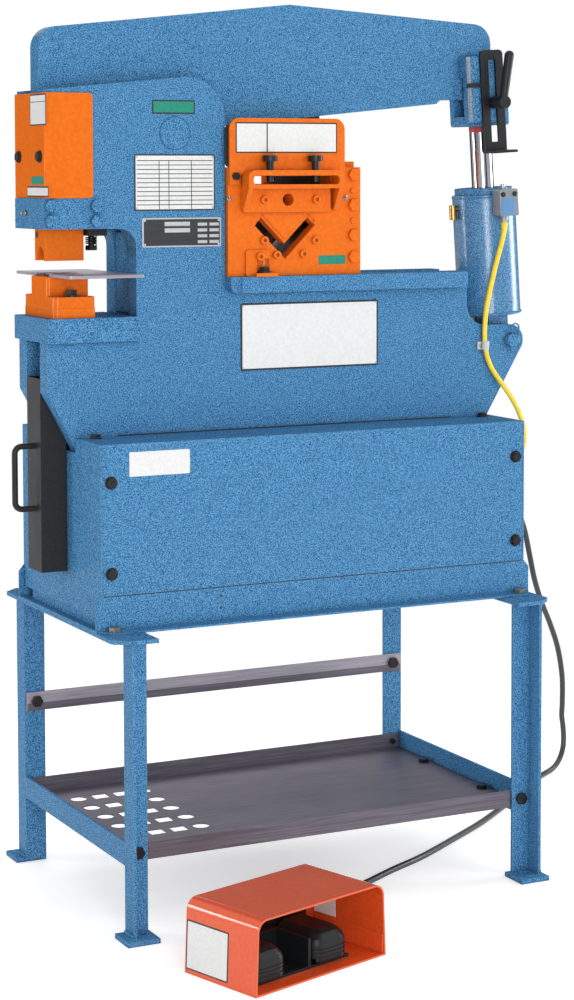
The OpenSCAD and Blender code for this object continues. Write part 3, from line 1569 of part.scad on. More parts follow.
left_leg_frame();
right_leg_frame();
rear_rail();
shelf_tray();
stand_bolts();
base_tray();
cabinet_shell();
front_panel();
panel_bolts();
front_side_plate();
rear_side_plate();
pivot_pin();
thrust_washers();
ram_guide();
guide_bolts();
punch_cover();
station_bolts();
die_table();
die_base();
die_holder();
punch_die();
gauge_table();
stripper_block();
stripper_bolt();
stripper_spring();
shear_bed();
shear_front_plate();
shear_guard();
shear_rear_plate();
shear_bolts();
fixed_blades();
hold_down_bracket();
left_hold_down_screw();
right_hold_down_screw();
clevis_pin();
hairpin_clip();
beam();
blade_holder();
stop_rail();
ram();
cylinder_barrel();
cylinder_gland();
breather();
limit_switch();
switch_plunger();
piston_rod();
rod_clevis();
rod_pin();
stop_bracket();
clamp_lever();
slug_chute();
power_motor();
oil_reservoir();
pressure_hose();
switch_lead();
foot_guard();
pedal_base();
left_treadle();
right_treadle();
pedal_cable();
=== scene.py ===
"""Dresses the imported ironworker: its finishes, cords, welds and plates, and the studio round it."""

from __future__ import annotations

import logging
import math
from collections.abc import Callable, Iterable, Sequence
from dataclasses import dataclass, replace
from enum import Enum
from functools import cache, reduce
from typing import Any

import bmesh
import bpy
from mathutils import Matrix, Vector
from mathutils.geometry import interpolate_bezier

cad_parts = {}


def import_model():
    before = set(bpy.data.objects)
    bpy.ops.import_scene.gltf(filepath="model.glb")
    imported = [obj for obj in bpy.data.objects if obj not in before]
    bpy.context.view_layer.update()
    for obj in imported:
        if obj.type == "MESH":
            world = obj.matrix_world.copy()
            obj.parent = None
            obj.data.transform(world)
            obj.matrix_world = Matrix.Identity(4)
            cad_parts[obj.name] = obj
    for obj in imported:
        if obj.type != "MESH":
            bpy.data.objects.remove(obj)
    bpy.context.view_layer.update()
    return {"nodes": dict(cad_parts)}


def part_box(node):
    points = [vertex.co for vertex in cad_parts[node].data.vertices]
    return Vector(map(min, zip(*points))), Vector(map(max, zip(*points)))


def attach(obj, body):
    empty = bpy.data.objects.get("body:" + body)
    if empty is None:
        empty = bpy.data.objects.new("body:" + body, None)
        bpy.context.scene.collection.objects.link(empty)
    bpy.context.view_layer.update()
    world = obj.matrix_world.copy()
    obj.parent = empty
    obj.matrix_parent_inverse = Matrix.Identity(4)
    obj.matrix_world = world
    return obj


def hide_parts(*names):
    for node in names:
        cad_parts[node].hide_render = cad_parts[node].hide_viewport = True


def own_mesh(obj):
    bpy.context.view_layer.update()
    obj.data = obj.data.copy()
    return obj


LOG = logging.getLogger("ironworker")
MM = 0.001
WHITE = (1.0, 1.0, 1.0, 1.0)
SEEN_RAYS = ("Camera", "Transmission", "Glossy")
Pair = tuple[float, float]
Triple = tuple[float, float, float]
Share = tuple[float, float, float, float]
Piece = bpy.types.Object
Socket = bpy.types.NodeSocket
Tree = bpy.types.NodeTree


def linear(hex_colour: str) -> Share:
    """Turns an sRGB hex colour, such as "4A86BE", into linear light with an alpha of 1."""
    values = [int(hex_colour[i:i + 2], 16) / 255 for i in (0, 2, 4)]
    return *(v / 12.92 if v <= 0.04045 else ((v + 0.055) / 1.055) ** 2.4 for v in values), 1.0


def add(tree: Tree, kind: str, inputs: dict[Any, Any] | None = None, **settings: Any) -> bpy.types.Node:
    """Adds a node with its settings and links.

    Args:
        tree: the node tree that gets the node.
        kind: the node's type, without "ShaderNode".
        inputs: input name or index to a value, or to the socket that feeds it.
        settings: the node's own properties.

    Returns:
        The new node.
    """
    node = tree.nodes.new("ShaderNode" + kind)
    for name, value in settings.items():
        setattr(node, name, value)
    for name, value in (inputs or {}).items():
        if isinstance(value, Socket):
            tree.links.new(value, node.inputs[name])
        else:
            node.inputs[name].default_value = value
    return node


def remap(tree: Tree, value: Socket, start: float, end: float, low: float = 0.0, high: float = 1.0) -> Socket:
    """Maps a value from one range, start to end, onto another, low to high, and holds it at the ends."""
    inputs = {"Value": value, "From Min": start, "From Max": end, "To Min": low, "To Max": high}
    return add(tree, "MapRange", inputs).outputs["Result"]


def combine(tree: Tree, operation: str, a: Socket, b: Socket) -> Socket:
    """Works out one value from two, by an operation such as "MULTIPLY"."""
    return add(tree, "Math", {0: a, 1: b}, operation=operation).outputs["Value"]


def blend(tree: Tree, share: Any, a: Any, b: Any, way: str = "MIX") -> Socket:
    """Mixes two colours, with a share of the second one."""
    inputs = {"Factor": share, "A": a, "B": b}
    return add(tree, "Mix", inputs, data_type="RGBA", blend_type=way).outputs["Result"]


def corners(node: str) -> tuple[list[float], list[float]]:
    """Gives a solid's lowest and highest corner, in millimetres."""
    low, high = ([v / MM for v in corner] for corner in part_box(node))
    return low, high


class Grain(Enum):
    """How a surface was made, which gives its fine pattern."""

    HAMMERED = "sprayed hammer paint"
    SPRAYED = "sprayed gloss paint"
    ROLLED = "rolled or brushed along X"
    TURNED = "turned or ground round its axis"
    CAST = "cast or moulded"
    EXTRUDED = "extruded jacket"


# How each grain is drawn out along X, Y and Z, and the detail and distortion of its noise
GRAIN_SCALE = {Grain.ROLLED: (0.02, 1.0, 1.0), Grain.TURNED: (0.1, 0.1, 1.0)}
GRAIN_NOISE = {Grain.HAMMERED: (0.0, 0.8), Grain.CAST: (4.0, 0.0)}
PLAIN_NOISE = (2.0, 0.0)
# Patches of uneven gloss: their size, and the part of the noise that counts
BROAD_MM = 70
BROAD_RANGE = (0.3, 0.7)
# Edges are painted lighter, as a painted highlight, from where the rounded normal leaves the face, at most by
# this share
WORN_RANGE = (0.985, 0.75)
WORN_MOST = 0.75
# Corners and recesses are painted darker, as painted shade, between these shares of open sky, looked for this far
SKY_RANGE = (0.2, 0.8)
SKY_MM = 12
RAYS = 6
COAT_ROUGHNESS = 0.1
PAINT_IOR = 1.5


@dataclass(frozen=True)
class Finish:
    """One finish, from the real material and the way its surface was made, with a painted highlight along its
    edges and painted shade in its corners.
    """

    name: str
    colour: str
    shade: str
    grain: Grain
    grain_mm: float
    metallic: float = 0.0
    roughness: float = 0.4
    spread: float = 0.12
    relief: float = 0.1
    relief_mm: float = 0.15
    coat: float = 0.0
    # lighter colour painted along edges as a highlight
    edge: str = ""
    edge_mm: float = 1.2
    specular: float = 0.5
    # share by which corners and recesses are painted darker as shade
    crevice: float = 0.5
    contrast: float = 0.16

    def pattern(self, tree: Tree, where: Socket) -> Socket:
        """Adds the fine pattern of the surface.

        Args:
            tree: the material's node tree.
            where: the coordinates, in metres.

        Returns:
            The socket with the pattern's height, from 0 to 1.
        """
        if self.grain in GRAIN_SCALE:
            where = add(tree, "Mapping", {"Vector": where, "Scale": GRAIN_SCALE[self.grain]}).outputs["Vector"]
        detail, bend = GRAIN_NOISE.get(self.grain, PLAIN_NOISE)
        return add(tree, "TexNoise", {"Vector": where, "Scale": 1 / (self.grain_mm * MM), "Detail": detail,
                                      "Roughness": 0.6, "Distortion": bend}).outputs["Fac"]

    @cache
    def build(self) -> bpy.types.Material:
        """Makes the material at its first use, and gives the same one after that.

        Returns:
            The material, named for the finish.
        """
        material = bpy.data.materials.new(self.name)
        material.use_nodes = True
        tree = material.node_tree
        tree.nodes.clear()
        where = add(tree, "TexCoord").outputs["Object"]
        fine = self.pattern(tree, where)
        patches = {"Vector": where, "Scale": 1 / (BROAD_MM * MM), "Detail": 3.0}
        broad = add(tree, "TexNoise", patches).outputs["Fac"]
        mottle = remap(tree, fine, 0.5 - self.contrast, 0.5 + self.contrast)
        colour = blend(tree, mottle, linear(self.shade), linear(self.colour))
        round_edge = add(tree, "Bevel", {"Radius": self.edge_mm * MM}, samples=RAYS).outputs["Normal"]
        # Painted highlight: the lighter edge colour is mixed in where the rounded normal leaves the face.
        if self.edge:
            flat = add(tree, "NewGeometry").outputs["Normal"]
            along = add(tree, "VectorMath", {0: round_edge, 1: flat}, operation="DOT_PRODUCT").outputs["Value"]
            colour = blend(tree, remap(tree, along, *WORN_RANGE, 0.0, WORN_MOST), colour, linear(self.edge))
        # Painted shade: corners and recesses with little open sky get a darker colour.
        if self.crevice:
            sky = add(tree, "AmbientOcclusion", {"Distance": SKY_MM * MM}, samples=RAYS).outputs["AO"]
            colour = blend(tree, 1.0, colour, remap(tree, sky, *SKY_RANGE, 1 - self.crevice, 1.0), "MULTIPLY")
        half = self.spread / 2
        rough = remap(tree, broad, *BROAD_RANGE, self.roughness - half, self.roughness + half)
        bump = add(tree, "Bump", {"Strength": self.relief, "Distance": self.relief_mm * MM,
                                  "Height": fine, "Normal": round_edge}).outputs["Normal"]
        inputs = {"Base Color": colour, "Roughness": rough, "Normal": bump, "Metallic": self.metallic,
                  "Coat Weight": self.coat, "Coat Roughness": COAT_ROUGHNESS, "Coat Normal": bump,
                  "Specular IOR Level": self.specular}
        if not self.metallic:
            inputs["IOR"] = PAINT_IOR
        shader = add(tree, "BsdfPrincipled", inputs)
        add(tree, "OutputMaterial", {"Surface": shader.outputs["BSDF"]})
        return material


# Hammer paint: blue enamel pulled into small dimples as it dries, semi-gloss with a fine mottle.
HAMMER_BLUE = Finish(
    "hammer_enamel_blue", "66A3D0", "185080", Grain.HAMMERED, 1.2, relief=0.5, relief_mm=0.4, edge="6FA8D4",
    edge_mm=1.4, specular=0.0, coat=0.2, contrast=0.045)
# The same enamel, flowed out smoother on drawn tube: long bright streaks down both sides.
SMOOTH_BLUE = replace(
    HAMMER_BLUE, name="hammer_enamel_blue_on_tube", relief=0.25, coat=0.7, specular=0.2, roughness=0.3)
# The enamel darkened into a blue ring round the pin: painted shade where the pin meets the plate.
SEAM_BLUE = replace(HAMMER_BLUE, name="hammer_enamel_blue_painted_shade", colour="2F6190", shade="234F7A")
# Gloss enamel, sprayed smooth, with a faint orange peel that only bends reflections.
GLOSS_ORANGE = Finish(
    "gloss_enamel_orange", "EA741E", "E26A19", Grain.SPRAYED, 6.0, roughness=0.26, relief=0.08, specular=0.0,
    coat=0.3, edge="FF9440", edge_mm=1.4, crevice=0.4)
# The foot guard's redder enamel: a hard gloss that mirrors the room along its folds.
GUARD_ORANGE = Finish(
    "gloss_enamel_red_orange", "E85A28", "DF5222", Grain.SPRAYED, 6.0, roughness=0.16, relief=0.06,
    specular=0.2, coat=0.7, edge="F27B45", crevice=0.2)
# Black oxide on fasteners: a dull, uneven blue-black, with a painted highlight along its corners.
BLACK_OXIDE = Finish(
    "black_oxide_steel", "2E2E31", "1F1F22", Grain.CAST, 1.6, metallic=0.6, roughness=0.42, edge="6A6A70",
    edge_mm=0.6)
# Oiled spring wire: dark, with a thin bright line along each turn.
SPRING_STEEL = Finish(
    "oiled_spring_steel", "4A4A4E", "38383C", Grain.CAST, 1.0, metallic=1.0, roughness=0.3, relief=0.05,
    edge_mm=0.3, crevice=0.0)
# Black enamel on folded sheet: even and half dull, with a grey painted highlight at the folds.
BLACK_PAINT = Finish(
    "semi_gloss_enamel_black", "2B2B2D", "242426", Grain.SPRAYED, 4.0, roughness=0.45, specular=0.2,
    edge="47484B", edge_mm=1.0)
# Hot-rolled and pickled sheet: grey, satin, with long rolling streaks.
MILL_STEEL = Finish(
    "mill_finish_steel", "77727C", "5F5A64", Grain.ROLLED, 2.2, metallic=0.35, roughness=0.42, relief=0.08,
    specular=0.2, edge="A9A6AD", edge_mm=0.8)
# A paler, smoother copy of the mill steel with a soft sheen: its extra lightness is painted light on the rear
# rail and gauge table.
DRAWN_STEEL = replace(MILL_STEEL, name="mill_steel_painted_lighter", colour="B0ABB5", shade="98939D", roughness=0.36)
# Ground tool steel: bright, with fine grinding lines.
GROUND_STEEL = Finish(
    "ground_tool_steel", "8A8B90", "66676C", Grain.ROLLED, 0.8, metallic=1.0, roughness=0.32, relief=0.06,
    edge="C8C9CE", edge_mm=0.8)
# Tool steel left dark from the furnace, bright only along its ground corners, where a highlight is also painted.
DARK_STEEL = Finish(
    "hardened_tool_steel", "3A3B40", "2A2B2F", Grain.CAST, 2.4, metallic=0.8, roughness=0.36, edge="8B8C92",
    edge_mm=0.8)
# Hard chrome on a ground rod: bright, nearly a mirror, with faint grinding rings.
HARD_CHROME = Finish(
    "hard_chrome", "A6A9AF", "989BA1", Grain.TURNED, 0.6, metallic=1.0, roughness=0.1, spread=0.04, relief=0.03,
    edge_mm=0.6, crevice=0.0)
# Yellow-passivated zinc on nuts and bolt heads: dull silver with a straw tint.
ZINC_PLATE = Finish(
    "passivated_zinc_plate", "A49C8C", "857C6D", Grain.CAST, 2.2, metallic=0.85, roughness=0.36, edge="CFC9BC",
    edge_mm=0.6)
# Die-cast zinc: a soft blue-grey metal with a slightly grainy skin.
ZINC_CASTING = Finish(
    "zinc_die_casting", "969CA4", "828890", Grain.CAST, 1.4, metallic=0.7, relief=0.15, edge="BFC4CA",
    edge_mm=0.8)
# Turned brass: warm yellow metal with faint tool rings.
BRASS = Finish(
    "machined_brass", "BC9A60", "A58349", Grain.TURNED, 0.8, metallic=1.0, roughness=0.28, relief=0.05,
    edge="DDC08A", edge_mm=0.6)
# Matt machine grey on the motor: flat, with no clear reflection.
GREY_PAINT = Finish("matt_enamel_grey", "62676E", "585D64", Grain.SPRAYED, 3.0, roughness=0.5, edge="80858C")
# Moulded polyethylene: a soft grey, waxy tank wall.
TANK_PLASTIC = Finish(
    "moulded_polyethylene_grey", "5F646B", "565B62", Grain.CAST, 2.0, roughness=0.5, relief=0.12)
# Moulded nylon with an etched, slightly dusty face.
BLACK_NYLON = Finish(
    "moulded_nylon_black", "1E2224", "141718", Grain.CAST, 1.5, roughness=0.34, relief=0.25, edge="3C4042",
    edge_mm=1.0, specular=0.25)
# Vinyl cable jackets: smooth, a little oily, with faint lengthwise draw marks.
BLACK_VINYL = Finish(
    "vinyl_jacket_black", "34393E", "2B3035", Grain.EXTRUDED, 5.0, roughness=0.36, relief=0.06, edge_mm=0.4)
YELLOW_VINYL = Finish(
    "vinyl_jacket_yellow", "FADB3A", "F2CE2A", Grain.EXTRUDED, 5.0, roughness=0.32, relief=0.06, edge_mm=0.4)
# Aluminium plates, brushed and anodised: satin, with fine lines and bright cut edges, partly a painted highlight.
ALUMINIUM = Finish(
    "brushed_aluminium", "C9CBCD", "B4B6B9", Grain.ROLLED, 0.9, metallic=0.6, relief=0.05, edge="E4E5E7",
    edge_mm=0.4)
BLACK_ANODISED = Finish(
    "anodised_aluminium_black", "3C3E42", "303236", Grain.ROLLED, 0.9, metallic=0.4, roughness=0.42,
    relief=0.05, edge="8A8C90", edge_mm=0.4)
# Stoved enamel on thin plates: flat, even colours with a satin face.
WHITE_ENAMEL = Finish(
    "stoved_enamel_white", "E6E7E6", "DEDFDE", Grain.SPRAYED, 5.0, roughness=0.34, relief=0.06, edge="F2F2F2",
    edge_mm=0.4)
GREEN_ENAMEL = Finish("stoved_enamel_green", "0E8E76", "0B806A", Grain.SPRAYED, 5.0, relief=0.06, edge_mm=0.4)
SWITCH_BLUE = Finish(
    "stoved_enamel_pale_blue", "5E93C4", "5488B8", Grain.SPRAYED, 4.0, roughness=0.36, relief=0.05, edge_mm=0.4)
# Polyurethane wiper: a dull brick red against the chrome.
SIGNAL_RED = Finish("polyurethane_red", "B23A34", "A4322D", Grain.CAST, 1.2, roughness=0.45, edge_mm=0.5)
# Pale moulded nylon, left undyed, with a soft waxy face.
PALE_NYLON = Finish(
    "moulded_nylon_natural", "CFCFCC", "C2C2BE", Grain.CAST, 1.5, roughness=0.45, relief=0.12, edge_mm=0.6)
# Screen ink, and flat black hexes that paint the shade inside open sockets: flat black without shine.
INK = Finish(
    "screen_ink_and_socket_shade_black", "26282B", "1F2124", Grain.SPRAYED, 3.0, roughness=0.5, relief=0.04, edge_mm=0.2,
    crevice=0.0)
# Satin chrome on the rule: pale grey metal that sets off the black ticks.
SCALE_STEEL = Finish(
    "satin_chrome_rule", "9FA1A3", "8B8D90", Grain.ROLLED, 0.8, metallic=0.5, relief=0.04, edge_mm=0.3)

NODE_FINISHES: dict[Finish, str] = {
    HAMMER_BLUE: "left_leg_frame right_leg_frame base_tray cabinet_shell front_panel front_side_plate "
                 "rear_side_plate pivot_pin ram_guide guide_bolts die_table shear_bed clevis_pin hairpin_clip "
                 "beam stop_rail cylinder_gland rod_clevis",
    SMOOTH_BLUE: "cylinder_barrel",
    GLOSS_ORANGE: "punch_cover die_base die_holder shear_front_plate shear_rear_plate shear_bolts "
                  "hold_down_bracket ram shear_guard",
    GUARD_ORANGE: "foot_guard",
    BLACK_OXIDE: "panel_bolts station_bolts punch_die stripper_block stripper_bolt stripper_spring "
                 "left_hold_down_screw right_hold_down_screw stop_bracket clamp_lever",
    BLACK_PAINT: "slug_chute",
    MILL_STEEL: "shelf_tray",
    DRAWN_STEEL: "rear_rail gauge_table",
    GROUND_STEEL: "thrust_washers rod_pin fixed_blades",
    DARK_STEEL: "blade_holder",
    HARD_CHROME: "piston_rod switch_plunger",
    ZINC_CASTING: "limit_switch",
    BRASS: "breather",
    GREY_PAINT: "power_motor",
    TANK_PLASTIC: "oil_reservoir",
    BLACK_NYLON: "pedal_base left_treadle right_treadle",
    BLACK_VINYL: "pressure_hose pedal_cable",
    YELLOW_VINYL: "switch_lead",
}
# Stand bolts above this height, in metres, hold the tray and are zinc-plated
TRAY_BOLTS_Z = 0.44


def put_on(piece: Piece, *finishes: Finish) -> None:
    """Puts finishes on a piece, in slot order.

    Args:
        piece: the piece, whose faces keep their slots if it had no material.
        finishes: one for each slot.
    """
    if piece.data.materials:
        piece.data.materials.clear()
    for finish in finishes:
        piece.data.materials.append(finish.build())


def dress(nodes: dict[str, Piece]) -> None:
    """Gives every solid its finish.

    Args:
        nodes: the solids by name.
    """
    for finish, names in NODE_FINISHES.items():
        for name in names.split():
            put_on(nodes[name], finish)
    bolts = nodes["stand_bolts"]
    put_on(bolts, BLACK_OXIDE, ZINC_PLATE)
    for face in bolts.data.polygons:
        face.material_index = 1 if face.center.z > TRAY_BOLTS_Z else 0


@dataclass
class Studio:
    """Camera, floor and lamps."""

    place: Triple = (-1.79614, -3.65681, 1.23046)
    yaw: float = 0.4621
    dip: float = 0.0678
    roll: float = -0.0023
    lens_mm: float = 84.26
    sensor_mm: float = 36.0
    shift_up: float = -0.17
    # Name, place, aim, edge in metres and power in watts
    lamps: tuple[tuple[str, Triple, Triple, float, float], ...] = (
        ("front", (-1.5, -4.3, 1.35), (0.0, 0.0, 0.7), 1.6, 56.0),
        ("key", (2.6, -3.2, 3.0), (0.0, 0.0, 0.9), 1.8, 26.0),
        ("left_rear", (-3.0, 1.3, 0.95), (-0.1, -0.2, 0.6), 0.7, 22.0),
        ("right", (3.4, -0.5, 1.3), (0.3, 0.0, 1.0), 1.2, 46.0),
        ("low", (-0.9, -3.3, 0.5), (-0.1, -0.3, 0.25), 0.7, 16.0),
        ("back", (0.6, 3.0, 3.2), (0.0, 0.0, 0.9), 2.4, 40.0))
    # The dim flags: the way they are measured from, and where they begin and end along it and in height
    flag_aim: Triple = (-0.44, -0.9, 0.0)
    flag_inner: Pair = (0.9, 0.84)
    flag_outer: Pair = (0.64, 0.72)
    flag_rear: Pair = (-0.42, -0.58)
    flag_height: Pair = (0.55, 0.3)
    flag_strength: float = 0.12
    room_strength: float = 0.55
    floor_size: float = 14.0
    floor_fade: Pair = (0.75, 1.9)
    floor_lift: float = 0.45

    def camera(self) -> None:
        """Sets the camera to the photograph's view."""
        data = bpy.data.cameras.new("camera")
        data.lens = self.lens_mm
        data.sensor_width = self.sensor_mm
        data.shift_y = self.shift_up
        data.clip_end = 50.0
        camera = bpy.data.objects.new("camera", data)
        turn = (Matrix.Rotation(-self.yaw, 4, "Z") @ Matrix.Rotation(math.pi / 2 - self.dip, 4, "X")
                @ Matrix.Rotation(self.roll, 4, "Z"))
        camera.matrix_world = Matrix.Translation(self.place) @ turn
        bpy.context.scene.collection.objects.link(camera)
        bpy.context.scene.camera = camera

    def light(self) -> None:
        """Hangs the soft square lamps."""
        for name, place, aim, size, watts in self.lamps:
            data = bpy.data.lights.new(name, "AREA")
            data.size = size
            data.energy = watts
            lamp = bpy.data.objects.new(name, data)
            lamp.location = place
            lamp.rotation_euler = (Vector(aim) - Vector(place)).to_track_quat("-Z", "Y").to_euler()
            bpy.context.scene.collection.objects.link(lamp)

    def seen(self, tree: Tree) -> Socket:
        """Gives 1 to rays of the eye, of reflections and through glass, and 0 to rays that only light."""
        path = add(tree, "LightPath").outputs
        return reduce(lambda a, b: combine(tree, "MAXIMUM", a, b), (path[f"Is {ray} Ray"] for ray in SEEN_RAYS))

    def walls(self, tree: Tree) -> Socket:
        """Gives reflections dim flags beside the camera and behind the machine, so that round metal shows form.

        Args:
            tree: the world's node tree.

        Returns:
            The strength of the surroundings, 1 everywhere but in reflections of the flags.
        """
        way = add(tree, "TexCoord").outputs["Generated"]
        ahead = add(tree, "VectorMath", {0: way, 1: self.flag_aim}, operation="DOT_PRODUCT").outputs["Value"]
        height = add(tree, "SeparateXYZ", {"Vector": way}).outputs["Z"]
        glossy = add(tree, "LightPath").outputs["Is Glossy Ray"]
        inner, outer = remap(tree, ahead, *self.flag_inner), remap(tree, ahead, *self.flag_outer)
        side = combine(tree, "MULTIPLY", inner, outer)
        flag = combine(tree, "MAXIMUM", side, remap(tree, ahead, *self.flag_rear))
        flag = combine(tree, "MULTIPLY", flag, remap(tree, height, *self.flag_height))
        flag = combine(tree, "MULTIPLY", flag, glossy)
        return remap(tree, flag, 0.0, 1.0, 1.0, self.flag_strength)

    def world(self) -> None:
        """Makes the pale surroundings: white to the eye and to reflections, softer as a light."""
        world = bpy.data.worlds.new("studio")
        world.use_nodes = True
        tree = world.node_tree
        tree.nodes.clear()
        soft, pale = (add(tree, "Background", {"Color": WHITE, "Strength": strength}).outputs["Background"]
                      for strength in (self.room_strength, self.walls(tree)))
        mixed = add(tree, "MixShader", {"Fac": self.seen(tree), 1: soft, 2: pale})
        add(tree, "OutputWorld", {"Surface": mixed.outputs["Shader"]})
        bpy.context.scene.world = world

    def floor(self) -> None:
        """Lays a pale floor that keeps the object's shadow and fades to white away from it."""
        form = bmesh.new()
        bmesh.ops.create_grid(form, x_segments=1, y_segments=1, size=self.floor_size)
        mesh = bpy.data.meshes.new("floor")
        form.to_mesh(mesh)
        form.free()
        floor = bpy.data.objects.new("floor", mesh)
        bpy.context.scene.collection.objects.link(floor)
        material = bpy.data.materials.new("studio_paper")
        material.use_nodes = True
        tree = material.node_tree
        tree.nodes.clear()
        where = add(tree, "TexCoord").outputs["Object"]
        reach = add(tree, "VectorMath", {0: where}, operation="LENGTH").outputs["Value"]
        white = combine(tree, "MULTIPLY", remap(tree, reach, *self.floor_fade), self.seen(tree))
        paper = add(tree, "BsdfDiffuse", {"Color": linear("F6F6F6")}).outputs["BSDF"]
        lift, glow = (add(tree, "Emission", {"Color": WHITE, "Strength": strength}).outputs["Emission"]
                      for strength in (self.floor_lift, 1.0))
        near = add(tree, "AddShader", {0: paper, 1: lift}).outputs["Shader"]
        lit = add(tree, "MixShader", {"Fac": self.seen(tree), 1: paper, 2: near}).outputs["Shader"]
        both = add(tree, "MixShader", {"Fac": white, 1: lit, 2: glow})
        add(tree, "OutputMaterial", {"Surface": both.outputs["Shader"]})
        mesh.materials.append(material)

    def build(self) -> None:
        """Sets up the whole studio."""
        bpy.context.scene.view_settings.view_transform = "Standard"
        self.camera()
        self.world()
        self.floor()
        self.light()


class Form:
    """A mesh under way, in millimetres, with a finish for each of its faces."""

    # Edges of a block sharper than this, in radians, are broken; a finished piece is smooth below the other
    BROKEN_ANGLE = 0.6
    SMOOTH_ANGLE = math.radians(32)
    # Shares of a weld's radius: ripple pitch, mean, swell, dip between ripples, and ends
    PITCH, MEAN, SWELL, DIP, END = 0.45, 0.9, 0.16, 0.18, 0.5

    def __init__(self, place: Matrix | None = None) -> None:
        """Starts an empty form.

        Args:
            place: turns the form's own millimetres into the machine's, or nothing where they are the same.
        """
        self.mesh = bmesh.new()
        self.place = place or Matrix.Identity(4)
        self.finishes: list[Finish] = []

    def fresh(self) -> list[bmesh.types.BMFace]:
        """Lists the faces that have no finish yet."""
        return [face for face in self.mesh.faces if face.material_index == 0]

    def paint(self, finish: Finish) -> None:
        """Gives the faces that have none their finish.

        Args:
            finish: the new faces' finish.
        """
        if finish not in self.finishes:
            self.finishes.append(finish)
        for face in self.fresh():
            face.material_index = self.finishes.index(finish) + 1

    def bevel(self, edges: Iterable[bmesh.types.BMEdge], size: float, segments: int) -> None:
        """Rounds edges over a width, with a number of faces round each."""
        bmesh.ops.bevel(self.mesh, geom=list(dict.fromkeys(edges)), offset=size, offset_type="OFFSET",
                        affect="EDGES", segments=segments, profile=0.5, material=-1, clamp_overlap=True)

    def box(self, low: Triple, high: Triple, finish: Finish, corner: float = 0.0, axis: int = 1,
            edge: float = 0.3) -> None:
        """Adds a block with round corners and broken edges.

        Args:
            low: its lowest corner.
            high: its highest corner.
            finish: its finish.
            corner: radius of the four corners seen along an axis.
            axis: that axis, as 0, 1 or 2.
            edge: width of the broken edges.
        """
        size = [h - l for l, h in zip(low, high)]
        middle = [(h + l) / 2 for l, h in zip(low, high)]
        matrix = Matrix.Translation(middle) @ Matrix.Diagonal((*size, 1.0))
        made = bmesh.ops.create_cube(self.mesh, size=1.0, matrix=matrix)["verts"]
        if corner:
            sides = (e for v in made for e in v.link_edges)
            self.bevel([e for e in sides if abs((e.verts[0].co - e.verts[1].co)[axis]) > 1e-6], corner, 4)
        if edge:
            rims = (e for f in self.fresh() for e in f.edges)
            self.bevel([e for e in rims if e.calc_face_angle(0.0) > self.BROKEN_ANGLE], edge, 1)
        self.paint(finish)

    def rod(self, start: Triple, end: Triple, finish: Finish, r0: float, r1: float | None = None, sides: int = 28,
            edge: float = 0.3) -> None:
        """Adds a round bar, cone or, with six sides, a hexagon.

        Args:
            start: the middle of its first end.
            end: the middle of its other end.
            finish: its finish.
            r0: radius of the first end.
            r1: radius of the other end, or nothing where it is the same.
            sides: how many faces go round it.
            edge: width of the broken rims.
        """
        along = Vector(end) - Vector(start)
        turn = along.to_track_quat("Z", "Y").to_matrix().to_4x4()
        matrix = Matrix.Translation((Vector(start) + Vector(end)) / 2) @ turn
        bmesh.ops.create_cone(self.mesh, cap_ends=True, segments=sides, radius1=r0,
                              radius2=r0 if r1 is None else r1, depth=along.length, matrix=matrix)
        if edge:
            self.bevel([e for f in self.fresh() if len(f.verts) > 4 for e in f.edges], edge, 2)
        self.paint(finish)

    def dome(self, place: Triple, radius: float, height: float, axis: int, finish: Finish) -> None:
        """Adds a domed head, such as a rivet's, half sunk in what carries it.

        Args:
            place: the middle of its foot.
            radius: its radius.
            height: how far it stands out.
            axis: the axis that it stands along.
            finish: its finish.
        """
        scale = [radius, radius, radius, 1.0]
        scale[axis] = height
        bmesh.ops.create_uvsphere(self.mesh, u_segments=16, v_segments=8, radius=1.0,
                                  matrix=Matrix.Translation(place) @ Matrix.Diagonal(scale))
        self.paint(finish)

    def ring(self, middle: Triple, radius: float, thick: float, finish: Finish) -> None:
        """Adds a round bead about the form's own Z axis.

        Args:
            middle: the ring's middle.
            radius: radius to the middle of the bead.
            thick: radius of the bead.
            finish: its finish.
        """
        start = Matrix.Translation(Vector(middle) + Vector((radius, 0, 0))) @ Matrix.Rotation(math.pi / 2, 4, "X")
        made = bmesh.ops.create_circle(self.mesh, cap_ends=False, segments=10, radius=thick, matrix=start)
        edges = list(dict.fromkeys(e for v in made["verts"] for e in v.link_edges))
        bmesh.ops.spin(self.mesh, geom=made["verts"] + edges, cent=middle, axis=(0, 0, 1), angle=2 * math.pi,
                       steps=64, use_merge=True)
        bmesh.ops.recalc_face_normals(self.mesh, faces=self.fresh())
        self.paint(finish)

    def tube(self, points: Sequence[Triple], radii: Sequence[float], finish: Finish, sides: int = 3) -> None:
        """Adds a round tube along points.

        Args:
            points: its middle line.
            radii: the radius at each point.
            finish: its finish.
            sides: bevel steps of each quarter turn.
        """
        data = bpy.data.curves.new("tube", "CURVE")
        data.dimensions = "3D"
        data.bevel_depth = 1.0
        data.bevel_resolution = sides
        data.use_fill_caps = True
        spline = data.splines.new("POLY")
        spline.points.add(len(points) - 1)
        for knot, point, radius in zip(spline.points, points, radii):
            knot.co = (*point, 1.0)
            knot.radius = radius
        carrier = bpy.data.objects.new("tube", data)
        mesh = bpy.data.meshes.new_from_object(carrier)
        self.mesh.from_mesh(mesh)
        bpy.data.objects.remove(carrier)
        bpy.data.curves.remove(data)
        bpy.data.meshes.remove(mesh)
        self.paint(finish)

    def weld(self, start: Triple, end: Triple, radius: float, finish: Finish) -> None:
        """Adds a weld bead whose ripples follow each other along a straight joint.

        Args:
            start: one end of the joint.
            end: its other end.
            radius: the bead's radius.
            finish: its finish.
        """
        way = Vector(end) - Vector(start)
        count = max(6, round(way.length / (self.PITCH * radius)))
        points = [tuple(Vector(start) + way * i / count) for i in range(count + 1)]
        shares = [self.MEAN + self.SWELL * ((i * 7) % 5) / 4 - self.DIP * (i % 2) for i in range(count + 1)]
        shares[0] = shares[-1] = self.END
        self.tube(points, [radius * share for share in shares], finish)

